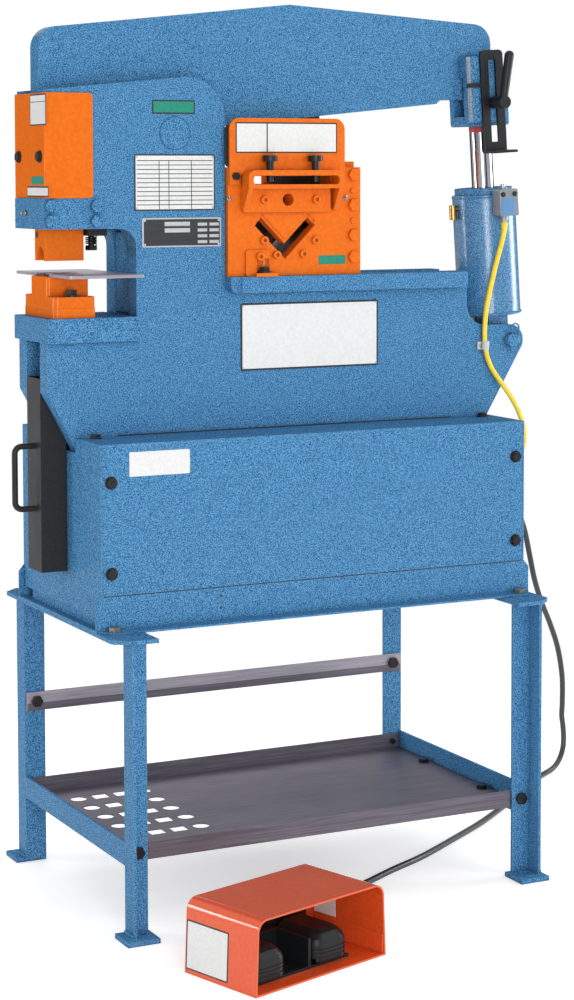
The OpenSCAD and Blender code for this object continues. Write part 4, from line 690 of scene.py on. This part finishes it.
    def piece(self, name: str, slot: str, body: str = "machine") -> Piece:
        """Makes the form a piece that rides on a body.

        Args:
            name: the piece's name.
            slot: not used.
            body: the body that it moves with.

        Returns:
            The piece.
        """
        for face in self.mesh.faces:
            face.material_index -= 1
        bmesh.ops.transform(self.mesh, matrix=Matrix.Scale(MM, 4) @ self.place, verts=self.mesh.verts)
        mesh = bpy.data.meshes.new(name)
        self.mesh.to_mesh(mesh)
        self.mesh.free()
        mesh.shade_smooth()
        mesh.set_sharp_from_angle(angle=self.SMOOTH_ANGLE)
        piece = bpy.data.objects.new(name, mesh)
        bpy.context.scene.collection.objects.link(piece)
        put_on(piece, *self.finishes)
        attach(piece, body)
        LOG.info("%s rides on %s", name, body)
        return piece


# The leaning cylinder's frame and the turned foot switch's frame, in millimetres
CYLINDER = Matrix.Translation((441.0, 0.0, 926.0)) @ Matrix.Rotation(math.radians(-3.576), 4, "Y")
PEDAL = Matrix.Translation((-314.0, -579.0, 0.0)) @ Matrix.Rotation(math.radians(17.5), 4, "Z")


def ribbed(step: int, last: int, thick: float, thin: float) -> float:
    """Gives a strain relief's radius at a step along it: a taper with grooves that let it bend."""
    groove = 0.7 if step % 4 in (2, 3) and step < last - 2 else 0.0
    return thick + (thin - thick) * step / last - groove


def crimped(step: int, last: int) -> float:
    """Gives a hose end's radius at a step along it: a nut, then a ferrule with crimp marks."""
    return 9.2 if step < last * 0.35 else 8.6 - 0.5 * (step % 2)


@dataclass
class Cord:
    """A cord of fixed length along a smooth route, in millimetres."""

    name: str
    route: list[Vector]
    radius: float
    finish: Finish
    slot: str
    node: str
    stiffness: str
    lay: str

    def handles(self) -> list[tuple[Vector, Vector, Vector]]:
        """Works out each knot's two handles, so that the curve runs smoothly through the route.

        Returns:
            The handle before, the knot and the handle after, for each knot.
        """
        last = len(self.route) - 1
        knots = []
        for i, knot in enumerate(self.route):
            lean = (self.route[min(i + 1, last)] - self.route[max(i - 1, 0)]) / 6
            knots.append((knot - lean, knot, knot + lean))
        return knots

    def trace(self) -> list[Vector]:
        """Gives close points along the cord.

        Returns:
            The points, about 2 to 4 mm apart.
        """
        knots = self.handles()
        points: list[Vector] = []
        for (_, a, b), (c, d, _) in zip(knots, knots[1:]):
            count = max(4, round((d - a).length / 3))
            points += interpolate_bezier(a, b, c, d, count)[:-1]
        return points + [self.route[-1]]

    def stretch(self, start: float, end: float) -> list[Vector]:
        """Gives the part of the cord between two lengths from its first end.

        Args:
            start: where the part starts; a negative number counts from the other end.
            end: where it ends.

        Returns:
            Its points.
        """
        points = self.trace()
        run = [0.0]
        for a, b in zip(points, points[1:]):
            run.append(run[-1] + (b - a).length)
        low, high = (run[-1] + start, run[-1] + end) if start < 0 else (start, end)
        return [p for p, s in zip(points, run) if low - 1e-6 <= s <= high + 1e-6]

    def sleeve(self, name: str, slot: str, finish: Finish, start: float, end: float, radius: Callable[..., float],
               *sizes: float) -> Piece:
        """Makes a sleeve on the cord, from the cord's end inwards.

        Args:
            name: the piece's name.
            slot: not used.
            finish: its finish.
            start: where it starts along the cord; a negative number counts from the other end.
            end: where it ends.
            radius: gives the radius at a step along it.
            sizes: what that needs to know besides the step and the last step.

        Returns:
            The piece.
        """
        points = self.stretch(start, end)
        if start < 0:
            points.reverse()
        last = len(points) - 1
        form = Form()
        radii = [radius(i, last, *sizes) for i in range(last + 1)]
        form.tube([tuple(p) for p in points], radii, finish, 4)
        return form.piece(name, slot)

    def build(self, with_pieces: list[Piece]) -> None:
        """Makes the cord, hides the solid that it replaces and logs its length.

        Args:
            with_pieces: not used.
        """
        data = bpy.data.curves.new(self.name, "CURVE")
        data.dimensions = "3D"
        data.bevel_depth = self.radius * MM
        data.bevel_resolution = 5
        data.resolution_u = 8
        data.render_resolution_u = 8
        data.use_fill_caps = True
        spline = data.splines.new("BEZIER")
        spline.bezier_points.add(len(self.route) - 1)
        for knot, (before, point, after) in zip(spline.bezier_points, self.handles()):
            knot.handle_left_type = knot.handle_right_type = "FREE"
            knot.handle_left, knot.co, knot.handle_right = before * MM, point * MM, after * MM
        cord = bpy.data.objects.new(self.name, data)
        bpy.context.scene.collection.objects.link(cord)
        put_on(cord, self.finish)
        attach(cord, "machine")
        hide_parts(self.node)
        LOG.info("%s is %.0f mm long", self.name, spline.calc_length() / MM)


@dataclass
class Cords:
    """Foot switch cable, limit switch lead and pressure hose, with their glands."""

    # The cable: down from its gland, over the floor, and up to the foot switch in that switch's frame
    gland: Pair = (416, 120)
    hang: tuple[Triple, ...] = (
        (0, 0, 640), (24, 0, 640), (48.9, 2.3, 639.7), (81.1, 14.4, 637.6), (124.7, 51.3, 627.4),
        (180.4, 91.1, 603.8), (229.7, 123, 570.3), (264.9, 145, 526), (285.9, 156.5, 470), (305.2, 167, 414),
        (331.5, 181.4, 362), (363.1, 198.7, 313), (392.9, 215, 257), (410.5, 224.6, 194.1), (413.1, 227.1, 140.3),
        (413.3, 229.3, 111.3), (416.6, 229.6, 88.5), (417.4, 228.1, 63.8), (413.4, 224.6, 43.7),
        (404.4, 219.9, 27.3), (391.2, 213.8, 15))
    floor: tuple[Triple, ...] = (
        (791.1, 326.5, 8), (772.4, 316.3, 6), (744.5, 296.5, 6), (725.2, 280.3, 6), (650.1, 214.6, 6),
        (480, 75, 6), (368, -4, 6), (256, -78, 6), (168, -125, 6), (41, -196, 6), (-77, -236, 6))
    pedal_entry: Pair = (190, 178)
    approach: tuple[Triple, ...] = (
        (95, 85.1, 6.3), (67.4, 90.4, 9.3), (44.7, 88.4, 14.7), (25.7, 79.5, 20), (11.3, 64.8, 24.8),
        (2.8, 45.6, 28.4), (0, 24, 29.9), (0, 0.3, 30))
    # The lead: its start in the cylinder's frame, its hanging part, and the bend into the cabinet
    lead_top: tuple[Triple, ...] = ((-5, -75, 214.7), (-5, -75, 203))
    lead: tuple[Triple, ...] = (
        (421.5, -75, 1116), (418.5, -75, 1104), (414.5, -75, 1091), (410.5, -75, 1078), (406.5, -75, 1065),
        (402.5, -75, 1051), (398, -75, 1034), (393, -74, 1013), (388.5, -73, 990), (385.5, -72, 962),
        (384.5, -72, 935), (386.5, -72, 912), (392, -72, 892), (401, -72.5, 874), (413, -75, 856),
        (425, -79.5, 838), (436, -85, 819), (445, -90, 799), (451, -94, 779), (453.5, -96, 762))
    lead_bend: float = 41.0
    lead_straight: float = 9
    lead_end: Triple = (404, -96, 708)
    # The hose: up from the pump, and its end in the cylinder's frame
    hose: tuple[Triple, ...] = (
        (60, 0, 603), (60, 0, 622), (61, 0, 646), (70, 0, 690), (98, 0, 734), (150, 0, 772), (240, 0, 806),
        (300, 0, 824), (350, 0, 852), (380, 0, 886), (394.6, 0, 920))
    hose_end: tuple[Triple, ...] = ((-38, 0, 26), (-38, 0, 43.7))
    # The outer face of the cabinet's right end
    cabinet_x: float = 400.3

    def build_cable(self) -> None:
        """Makes the foot switch cable with its gland and reliefs."""
        x0, y0 = self.gland
        u0, v0 = self.pedal_entry
        route = [Vector((x0 + x, y0 + y, z)) for x, y, z in self.hang]
        route += [Vector(p) for p in self.floor]
        route += [PEDAL @ Vector((u0 + u, v0 + v, w)) for u, v, w in self.approach]
        cable = Cord("foot_cable", route, 5.5, BLACK_VINYL, "black_rubber", "pedal_cable", "medium", "loose")
        z0 = self.hang[0][2]
        nut = Form()
        nut.rod((self.cabinet_x, y0, z0), (407, y0, z0), BLACK_NYLON, 13.5, sides=6, edge=0.8)
        nut.rod((407, y0, z0), (419, y0, z0), BLACK_NYLON, 10.8, 9.2, edge=1.2)
        cable.build([nut.piece("cable_gland", "black_plastic"),
                     cable.sleeve("cable_relief", "black_plastic", BLACK_NYLON, 1.5, 36.0, ribbed, 8.6, 6.0),
                     cable.sleeve("pedal_relief", "black_plastic", BLACK_NYLON, -27.0, -0.6, ribbed, 8.6, 6.0)])

    def build_lead(self) -> None:
        """Makes the limit switch lead with its gland, clip and reliefs."""
        x0, y0, z0 = self.lead_end
        route = [CYLINDER @ Vector(p) for p in self.lead_top] + [Vector(p) for p in self.lead]
        for angle in (math.radians(15 * i) for i in range(7)):
            route.append(Vector((x0 + self.lead_straight + self.lead_bend * math.cos(angle), y0,
                                 z0 + self.lead_bend * (1 - math.sin(angle)))))
        route.append(Vector(self.lead_end))
        lead = Cord("limit_switch_lead", route, 4.5, YELLOW_VINYL, "yellow_rubber", "switch_lead", "medium",
                    "hanging")
        switch_relief = lead.sleeve("lead_relief", "black_plastic", YELLOW_VINYL, 0.4, 24.0, ribbed, 6.0, 4.8)
        low_relief = lead.sleeve("lead_low_relief", "black_plastic", YELLOW_VINYL, -30.0, -0.4, ribbed, 6.6, 4.8)
        plug = Form()
        plug.rod((self.cabinet_x, y0, z0), (404.5, y0, z0), BLACK_NYLON, 11.5, sides=6, edge=0.6)
        low_gland = plug.piece("lead_gland", "black_plastic")
        clip = Form()
        clip.rod((385.6, -72, 910), (387.2, -72, 926), PALE_NYLON, 6.8)
        clip.box((372, -69.6, 911), (386.5, -66.1, 925), PALE_NYLON, edge=0.5)
        clip.dome((378.5, -69.6, 918), 3.6, 2.2, 1, ZINC_PLATE)
        lead_clip = clip.piece("lead_clip", "black_plastic")
        lead.build([switch_relief, low_relief, low_gland, lead_clip])

    def build_hose(self) -> None:
        """Makes the pressure hose with its two crimped ends."""
        route = [Vector(p) for p in self.hose] + [CYLINDER @ Vector(p) for p in self.hose_end]
        hose = Cord("pressure_line", route, 7.0, BLACK_VINYL, "black_rubber", "pressure_hose", "stiff", "hanging")
        hose.build([hose.sleeve("hose_pump_end", "bare_steel", ZINC_PLATE, 0.5, 30.0, crimped),
                    hose.sleeve("hose_barrel_end", "bare_steel", ZINC_PLATE, -26.0, -0.8, crimped)])

    def build(self) -> None:
        """Makes the three cords."""
        self.build_cable()
        self.build_lead()
        self.build_hose()


@dataclass
class Plate:
    """A blank plate, flat against an upright face, with a printed frame, empty fields and rivets."""

    name: str
    low: Pair
    high: Pair
    face: Finish
    frame: Finish | None = None
    fields: tuple[Share, ...] = ()
    rim: float = 2.4
    rivets: bool = False
    thick: float = 0.4

    def build(self, y: float, place: Matrix | None = None) -> None:
        """Makes the plate, its printed frame, its fields and its rivets.

        Args:
            y: the face that it lies on, which it stands out from towards -Y.
            place: the frame that its sizes are in.
        """
        form = Form(place)
        (x0, z0), (x1, z1) = self.low, self.high
        wide, high = x1 - x0, z1 - z0
        front = y - self.thick
        print_finish = self.frame or self.face
        form.box((x0, front, z0), (x1, y + 0.05, z1), print_finish, corner=2.0, edge=0.25)
        if self.frame:
            form.box((x0 + self.rim, front - 0.08, z0 + self.rim), (x1 - self.rim, front + 0.1, z1 - self.rim),
                     self.face, edge=0)
        for left, low, right, top in self.fields:
            form.box((x0 + wide * left, front - 0.16, z0 + high * low),
                     (x0 + wide * right, front, z0 + high * top), print_finish, edge=0)
        if self.rivets:
            for x in (x0 + 4.5, x1 - 4.5):
                for z in (z0 + 4.5, z1 - 4.5):
                    form.dome((x, front, z), 2.0, 1.1, 1, ALUMINIUM)
        form.piece(self.name, "bare_steel")

    @staticmethod
    def ruled(rows: int, columns: Sequence[float]) -> tuple[Share, ...]:
        """Works out the printed lines of an empty table, in shares of the plate's width and height."""
        lines = [(0.03, 0.86 * i / rows + 0.02, 0.97, 0.86 * i / rows + 0.034) for i in range(1, rows + 1)]
        return tuple(lines + [(x, 0.03, x + 0.009, 0.89) for x in columns])


@dataclass
class FrameDetails:
    """Plates, dark strips of painted shadow, welds, grease nipple and set screw on the side plates, cabinet and
    punch station.
    """

    seal_reach: Pair = (-322.0, 318.0)
    tray_marks: Triple = (-201.7, 537.0, 517.5)
    table_weld: Triple = (-446, -288, 951)
    bed_welds: tuple[Pair, ...] = ((-78, 1), (104, 190), (270, 330))
    pivot: Triple = (-216.0, -66.2, 1294.0)
    nipple: Pair = (12.9, 1162)
    set_screw: Pair = (14, 1126)
    front_plate_y: float = -76.0

    def plates(self) -> None:
        """Makes the blank plates."""
        boxes = [(0.28, 0.72, 0.6, 0.86), (0.28, 0.5, 0.6, 0.64)]
        boxes += [(0.7 + 0.15 * i, 0.12 + 0.2 * k, 0.82 + 0.15 * i, 0.22 + 0.2 * k)
                  for i in range(2) for k in range(4)]
        lines = Plate.ruled(11, (0.3, 0.42, 0.7))
        side = corners("front_side_plate")[0][1]
        for plate in (
                Plate("rating_plate", (-290, 1165), (-143, 1259), WHITE_ENAMEL, INK, lines, rivets=True,
                      thick=0.8),
                Plate("serial_plate", (-276, 1104), (-132, 1153), BLACK_ANODISED, ALUMINIUM, tuple(boxes),
                      rivets=True, thick=0.8),
                Plate("pivot_plate", (-257, 1326), (-179, 1349), GREEN_ENAMEL, INK),
                Plate("bed_plate", (-96, 891), (170, 1006), WHITE_ENAMEL, INK, rim=3.2, rivets=True, thick=1.0)):
            plate.build(side)
        Plate("front_mark", (48.5, 1070), (100.5, 1085.5), GREEN_ENAMEL).build(self.front_plate_y)
        Plate("guard_plate", (-111, 1261), (82, 1313), WHITE_ENAMEL, INK, ((0.3, 0.04, 0.312, 0.96),),
              thick=0.1).build(corners("shear_guard")[0][1])
        panel, cover = corners("front_panel")[0][1], corners("punch_cover")[0][0]
        Plate("cabinet_plate", (-350, 738), (-243, 778), WHITE_ENAMEL, thick=0.5).build(panel)
        left = Matrix.Translation((cover, 0.0, 0.0)) @ Matrix.Rotation(-math.pi / 2, 4, "Z")
        line = (0.05, 0.74, 0.95, 0.76)
        for plate in (Plate("cover_plate", (5, 1305.5), (79, 1357), WHITE_ENAMEL, INK, (line,)),
                      Plate("cover_mark", (8, 1209), (65, 1223), GREEN_ENAMEL),
                      Plate("cover_low_plate", (-12, 1189), (88, 1206.5), WHITE_ENAMEL, INK)):
            plate.build(0.0, left)

    def seals(self) -> None:
        """Makes dark strips that paint the shadow in the gaps along the cabinet's top and under its front panel,
        and the tray's two plugs.
        """
        form = Form()
        side, top = corners("front_side_plate")[0][1], corners("cabinet_shell")[1][2]
        low, high = self.seal_reach
        # Painted shadow: a dark strip in the gap where the side plates meet the cabinet's top.
        form.box((low, side - 3.2, top - 0.3), (high, side + 0.2, top + 1.6), BLACK_VINYL, edge=0.4)
        # Painted shadow: a dark strip in the gap under the front panel.
        x, panel, z = corners("front_panel")[0]
        form.box((x + 1, panel - 0.15, z - 1.6), (-x - 1, panel + 2.0, z + 0.1), BLACK_VINYL, edge=0)
        x, *heights = self.tray_marks
        for z in heights:
            form.dome((x, corners("base_tray")[0][1] + 0.2, z), 2.4, 0.6, 1, BLACK_VINYL)
        form.piece("cabinet_shadow_strips_and_plugs", "black_rubber")

    def welds(self) -> None:
        """Makes the weld beads of the frame and the ring of painted shade round the pivot pin."""
        beads = Form()
        x0, x1, z = self.table_weld
        for y in (-66.5, 66.5):
            beads.weld((x0, y, z), (x1, y, z), 4.0, HAMMER_BLUE)
        for x0, x1 in self.bed_welds:
            beads.weld((x0, -67.5, 1024.2), (x1, -67.5, 1024.2), 3.6, HAMMER_BLUE)
        beads.piece("frame_welds", "blue_paint")
        # Painted shade: a darker blue ring round the pivot pin, where it meets the plate.
        seam = Form(Matrix.Translation(self.pivot) @ Matrix.Rotation(math.pi / 2, 4, "X"))
        seam.ring((0, 0, 0), 27.0, 1.0, SEAM_BLUE)
        seam.piece("pivot_shade_ring", "blue_paint")

    def fittings(self) -> None:
        """Makes the ram guide's grease nipple and the ram's set screw."""
        left = corners("ram_guide")[0][0]
        y, z = self.nipple
        nipple = Form()
        nipple.rod((left + 0.2, y, z), (left - 4, y, z), ZINC_PLATE, 4.6, sides=6)
        nipple.rod((left - 4, y, z), (left - 7.5, y, z), ZINC_PLATE, 2.6, 2.2, sides=16)
        nipple.dome((left - 8, y, z), 2.6, 2.2, 0, ZINC_PLATE)
        nipple.piece("guide_nipple", "bare_steel")
        left = corners("ram")[0][0]
        y, z = self.set_screw
        screw = Form()
        screw.rod((left + 0.4, y, z), (left - 0.12, y, z), BLACK_OXIDE, 6.2, sides=20, edge=0)
        # A flat black hex paints the shade inside the screw's socket.
        screw.rod((left + 0.4, y, z), (left - 0.18, y, z), INK, 3.0, sides=6, edge=0)
        screw.piece("punch_set_screw", "black_oxide", "ram")

    def build(self) -> None:
        """Makes the details."""
        self.plates()
        self.seals()
        self.welds()
        self.fittings()


@dataclass
class ShearDetails:
    """A black sheet behind the guard that paints the shade seen past it, and the two ground studs on the shear's
    front plate.
    """

    studs: tuple[Pair, ...] = ((-122, 1184), (101, 1184.5))
    stud_y: Pair = (-75.8, -79.2)

    def build(self) -> None:
        """Makes the details."""
        low, high = corners("shear_guard")
        bottom = corners("shear_front_plate")[1][2] + 1
        # Painted shade: a black sheet behind the guard, standing where the shade behind it shows.
        backing = Form()
        backing.box((low[0] - 6, high[1] + 0.3, bottom), (high[0] - 4, high[1] + 2.3, high[2] - 12), BLACK_PAINT,
                    corner=6.0)
        backing.piece("guard_shade_sheet", "black_paint")
        studs = Form()
        for x, z in self.studs:
            foot, tip = ((x, y, z) for y in self.stud_y)
            studs.rod(foot, tip, HARD_CHROME, 4.2, sides=24, edge=0.6)
        studs.piece("gauge_studs", "bare_steel")


@dataclass
class CylinderDetails:
    """Weld rings, switch plate and screws, wiper band and the stroke scale, in the cylinder's frame."""

    # Height, radius and thickness of each weld
    welds: tuple[Triple, ...] = ((47.0, 56.6, 2.4), (258.0, 56.8, 1.6))
    screws: tuple[Pair, ...] = ((-12.0, 263.0), (12.0, 263.0))
    band: Pair = (375.0, 386.0)
    band_r: float = 20.35
    scale: Pair = (397.0, 510.0)
    tick: float = 2.5
    ticks_x: float = -49.2

    def switch(self) -> None:
        """Makes the switch's plate and its screw heads."""
        label = Form(CYLINDER)
        label.box((-15.5, -88.5, 226.5), (10.5, -87.9, 255.5), SWITCH_BLUE, corner=1.5, edge=0.15)
        label.piece("switch_plate", "zinc_casting", "cylinder")
        screws = Form(CYLINDER)
        for x, s in self.screws:
            screws.rod((x, -87.6, s), (x, -89.9, s), BLACK_OXIDE, 4.4, sides=24)
            # Flat black hexes paint the shade inside the screws' sockets.
            screws.rod((x, -89.6, s), (x, -90.0, s), INK, 1.8, sides=6, edge=0)
        screws.piece("switch_screws", "black_oxide", "cylinder")

    def rule(self) -> None:
        """Makes the stroke scale, with every fourth tick long."""
        low, high = self.scale
        rule = Form(CYLINDER)
        rule.box((-49.6, -46.9, low), (-42.2, -45.95, high), SCALE_STEEL, edge=0.2)
        for i in range(int((high - low - 6) / self.tick) + 1):
            s = low + 3 + self.tick * i
            end = self.ticks_x + (5.6 if i % 4 == 0 else 3.2)
            rule.box((self.ticks_x, -46.98, s - 0.3), (end, -46.8, s + 0.3), INK, edge=0)
        rule.piece("stroke_scale", "bare_steel", "beam")

    def build(self) -> None:
        """Makes the details."""
        rings = Form(CYLINDER)
        for s, radius, thick in self.welds:
            rings.ring((0, 0, s), radius, thick, HAMMER_BLUE)
        rings.piece("barrel_welds", "blue_paint", "cylinder")
        self.switch()
        band = Form(CYLINDER)
        start, end = ((0, 0, s) for s in self.band)
        band.rod(start, end, SIGNAL_RED, self.band_r, sides=48, edge=0.2)
        band.piece("rod_band", "hard_chrome", "rod")
        self.rule()


@dataclass
class Spring:
    """The stripper's coil spring, wound as the solid that it replaces."""

    mean_r: float = 9.0
    wire_r: float = 1.1
    turns: int = 4
    turn_steps: int = 32
    length: float = 17.0
    gap: float = 0.1

    def build(self) -> None:
        """Makes the spring in place of the solid."""
        low, high = corners("stripper_spring")
        x, y = (low[0] + high[0]) / 2, (low[1] + high[1]) / 2
        rise = self.length - 4 * self.wire_r - 2 * self.gap
        steps = self.turn_steps * self.turns
        points = [(x + self.mean_r, y, low[2])]
        for i in range(steps + 1):
            angle = 2 * math.pi * self.turns * i / steps
            points.append((x + self.mean_r * math.cos(angle), y + self.mean_r * math.sin(angle),
                           low[2] + 2 * self.wire_r + rise * i / steps))
        points.append((x + self.mean_r, y, high[2]))
        form = Form()
        form.tube(points, [self.wire_r] * len(points), SPRING_STEEL)
        spring = form.piece("stripper_coil", "black_oxide")
        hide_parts("stripper_spring")
        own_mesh(spring)


@dataclass
class StandDetails:
    """Hems of the shelf and the rear rail, and the welds at the feet."""

    leg_x: float = 383.0
    leg_y: float = 268.0
    flange: float = 38.0
    foot_z: float = 9.0

    def build(self) -> None:
        """Makes the details."""
        hem = Form()
        _, y, z = corners("shelf_tray")[0]
        reach = self.leg_x - self.flange - 1
        hem.box((-reach, y - 0.8, z), (reach, y + 0.1, z + 12.5), MILL_STEEL)
        (left, y, z), (right, _, _) = corners("rear_rail")
        hem.box((left + 1, y - 0.8, z), (right - 1, y + 0.1, z + 13), MILL_STEEL)
        hem.piece("folded_hems", "bare_steel")

        beads = Form()
        for side in (-1, 1):
            x = side * self.leg_x + side * 1.0
            for way in (-1, 1):
                outer, inner = way * self.leg_y, way * (self.leg_y - self.flange)
                beads.weld((x, outer - way * 2, self.foot_z), (x, inner + way * 2, self.foot_z), 4.6, HAMMER_BLUE)
        beads.piece("foot_welds", "blue_paint")


@dataclass
class FootSwitchDetails:
    """The pan's flange inside the guard, two blank plates and the treadles' hinge studs."""

    # The guard's left side leans by this much
    lean: float = math.radians(2.4)
    studs: tuple[tuple[str, float], ...] = (("left", 85.0), ("right", 218.0))
    hinge: Pair = (52.0, 42.0)

    def build(self) -> None:
        """Makes the details."""
        left = (PEDAL @ Matrix.Translation((-4.0, 0.0, 1.0)) @ Matrix.Rotation(self.lean, 4, "Y")
                @ Matrix.Rotation(-math.pi / 2, 4, "Z"))
        Plate("guard_side_plate", (-158, 6), (-63, 83), WHITE_ENAMEL, INK).build(0.0, left)
        pan = Form(PEDAL)
        pan.box((270.2, 2.0, 3.0), (272.4, 154.0, 34.0), GUARD_ORANGE, edge=0.4)
        pan.piece("pan_flange", "guard_paint")
        inside = Form(PEDAL)
        inside.box((268.0, 104.0, 38.0), (268.9, 152.0, 74.0), WHITE_ENAMEL, edge=0.1)
        inside.piece("guard_inner_plate", "bare_steel")
        v, w = self.hinge
        for side, u in self.studs:
            stud = Form(PEDAL)
            stud.rod((u - 0.4, v, w), (u + 1.6, v, w), BRASS, 3.4, sides=16)
            stud.piece(f"{side}_treadle_stud", "brass", f"{side}_pedal")


def main() -> None:
    """Builds the dressed machine."""
    logging.basicConfig(level=logging.INFO, format="%(message)s")
    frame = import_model()
    Studio().build()
    Cords().build()
    dress(frame["nodes"])
    for details in (StandDetails, FrameDetails, ShearDetails, CylinderDetails, Spring, FootSwitchDetails):
        details().build()
    LOG.info("dressed %d solids", len(frame["nodes"]))


if __name__ == "__main__":
    main()
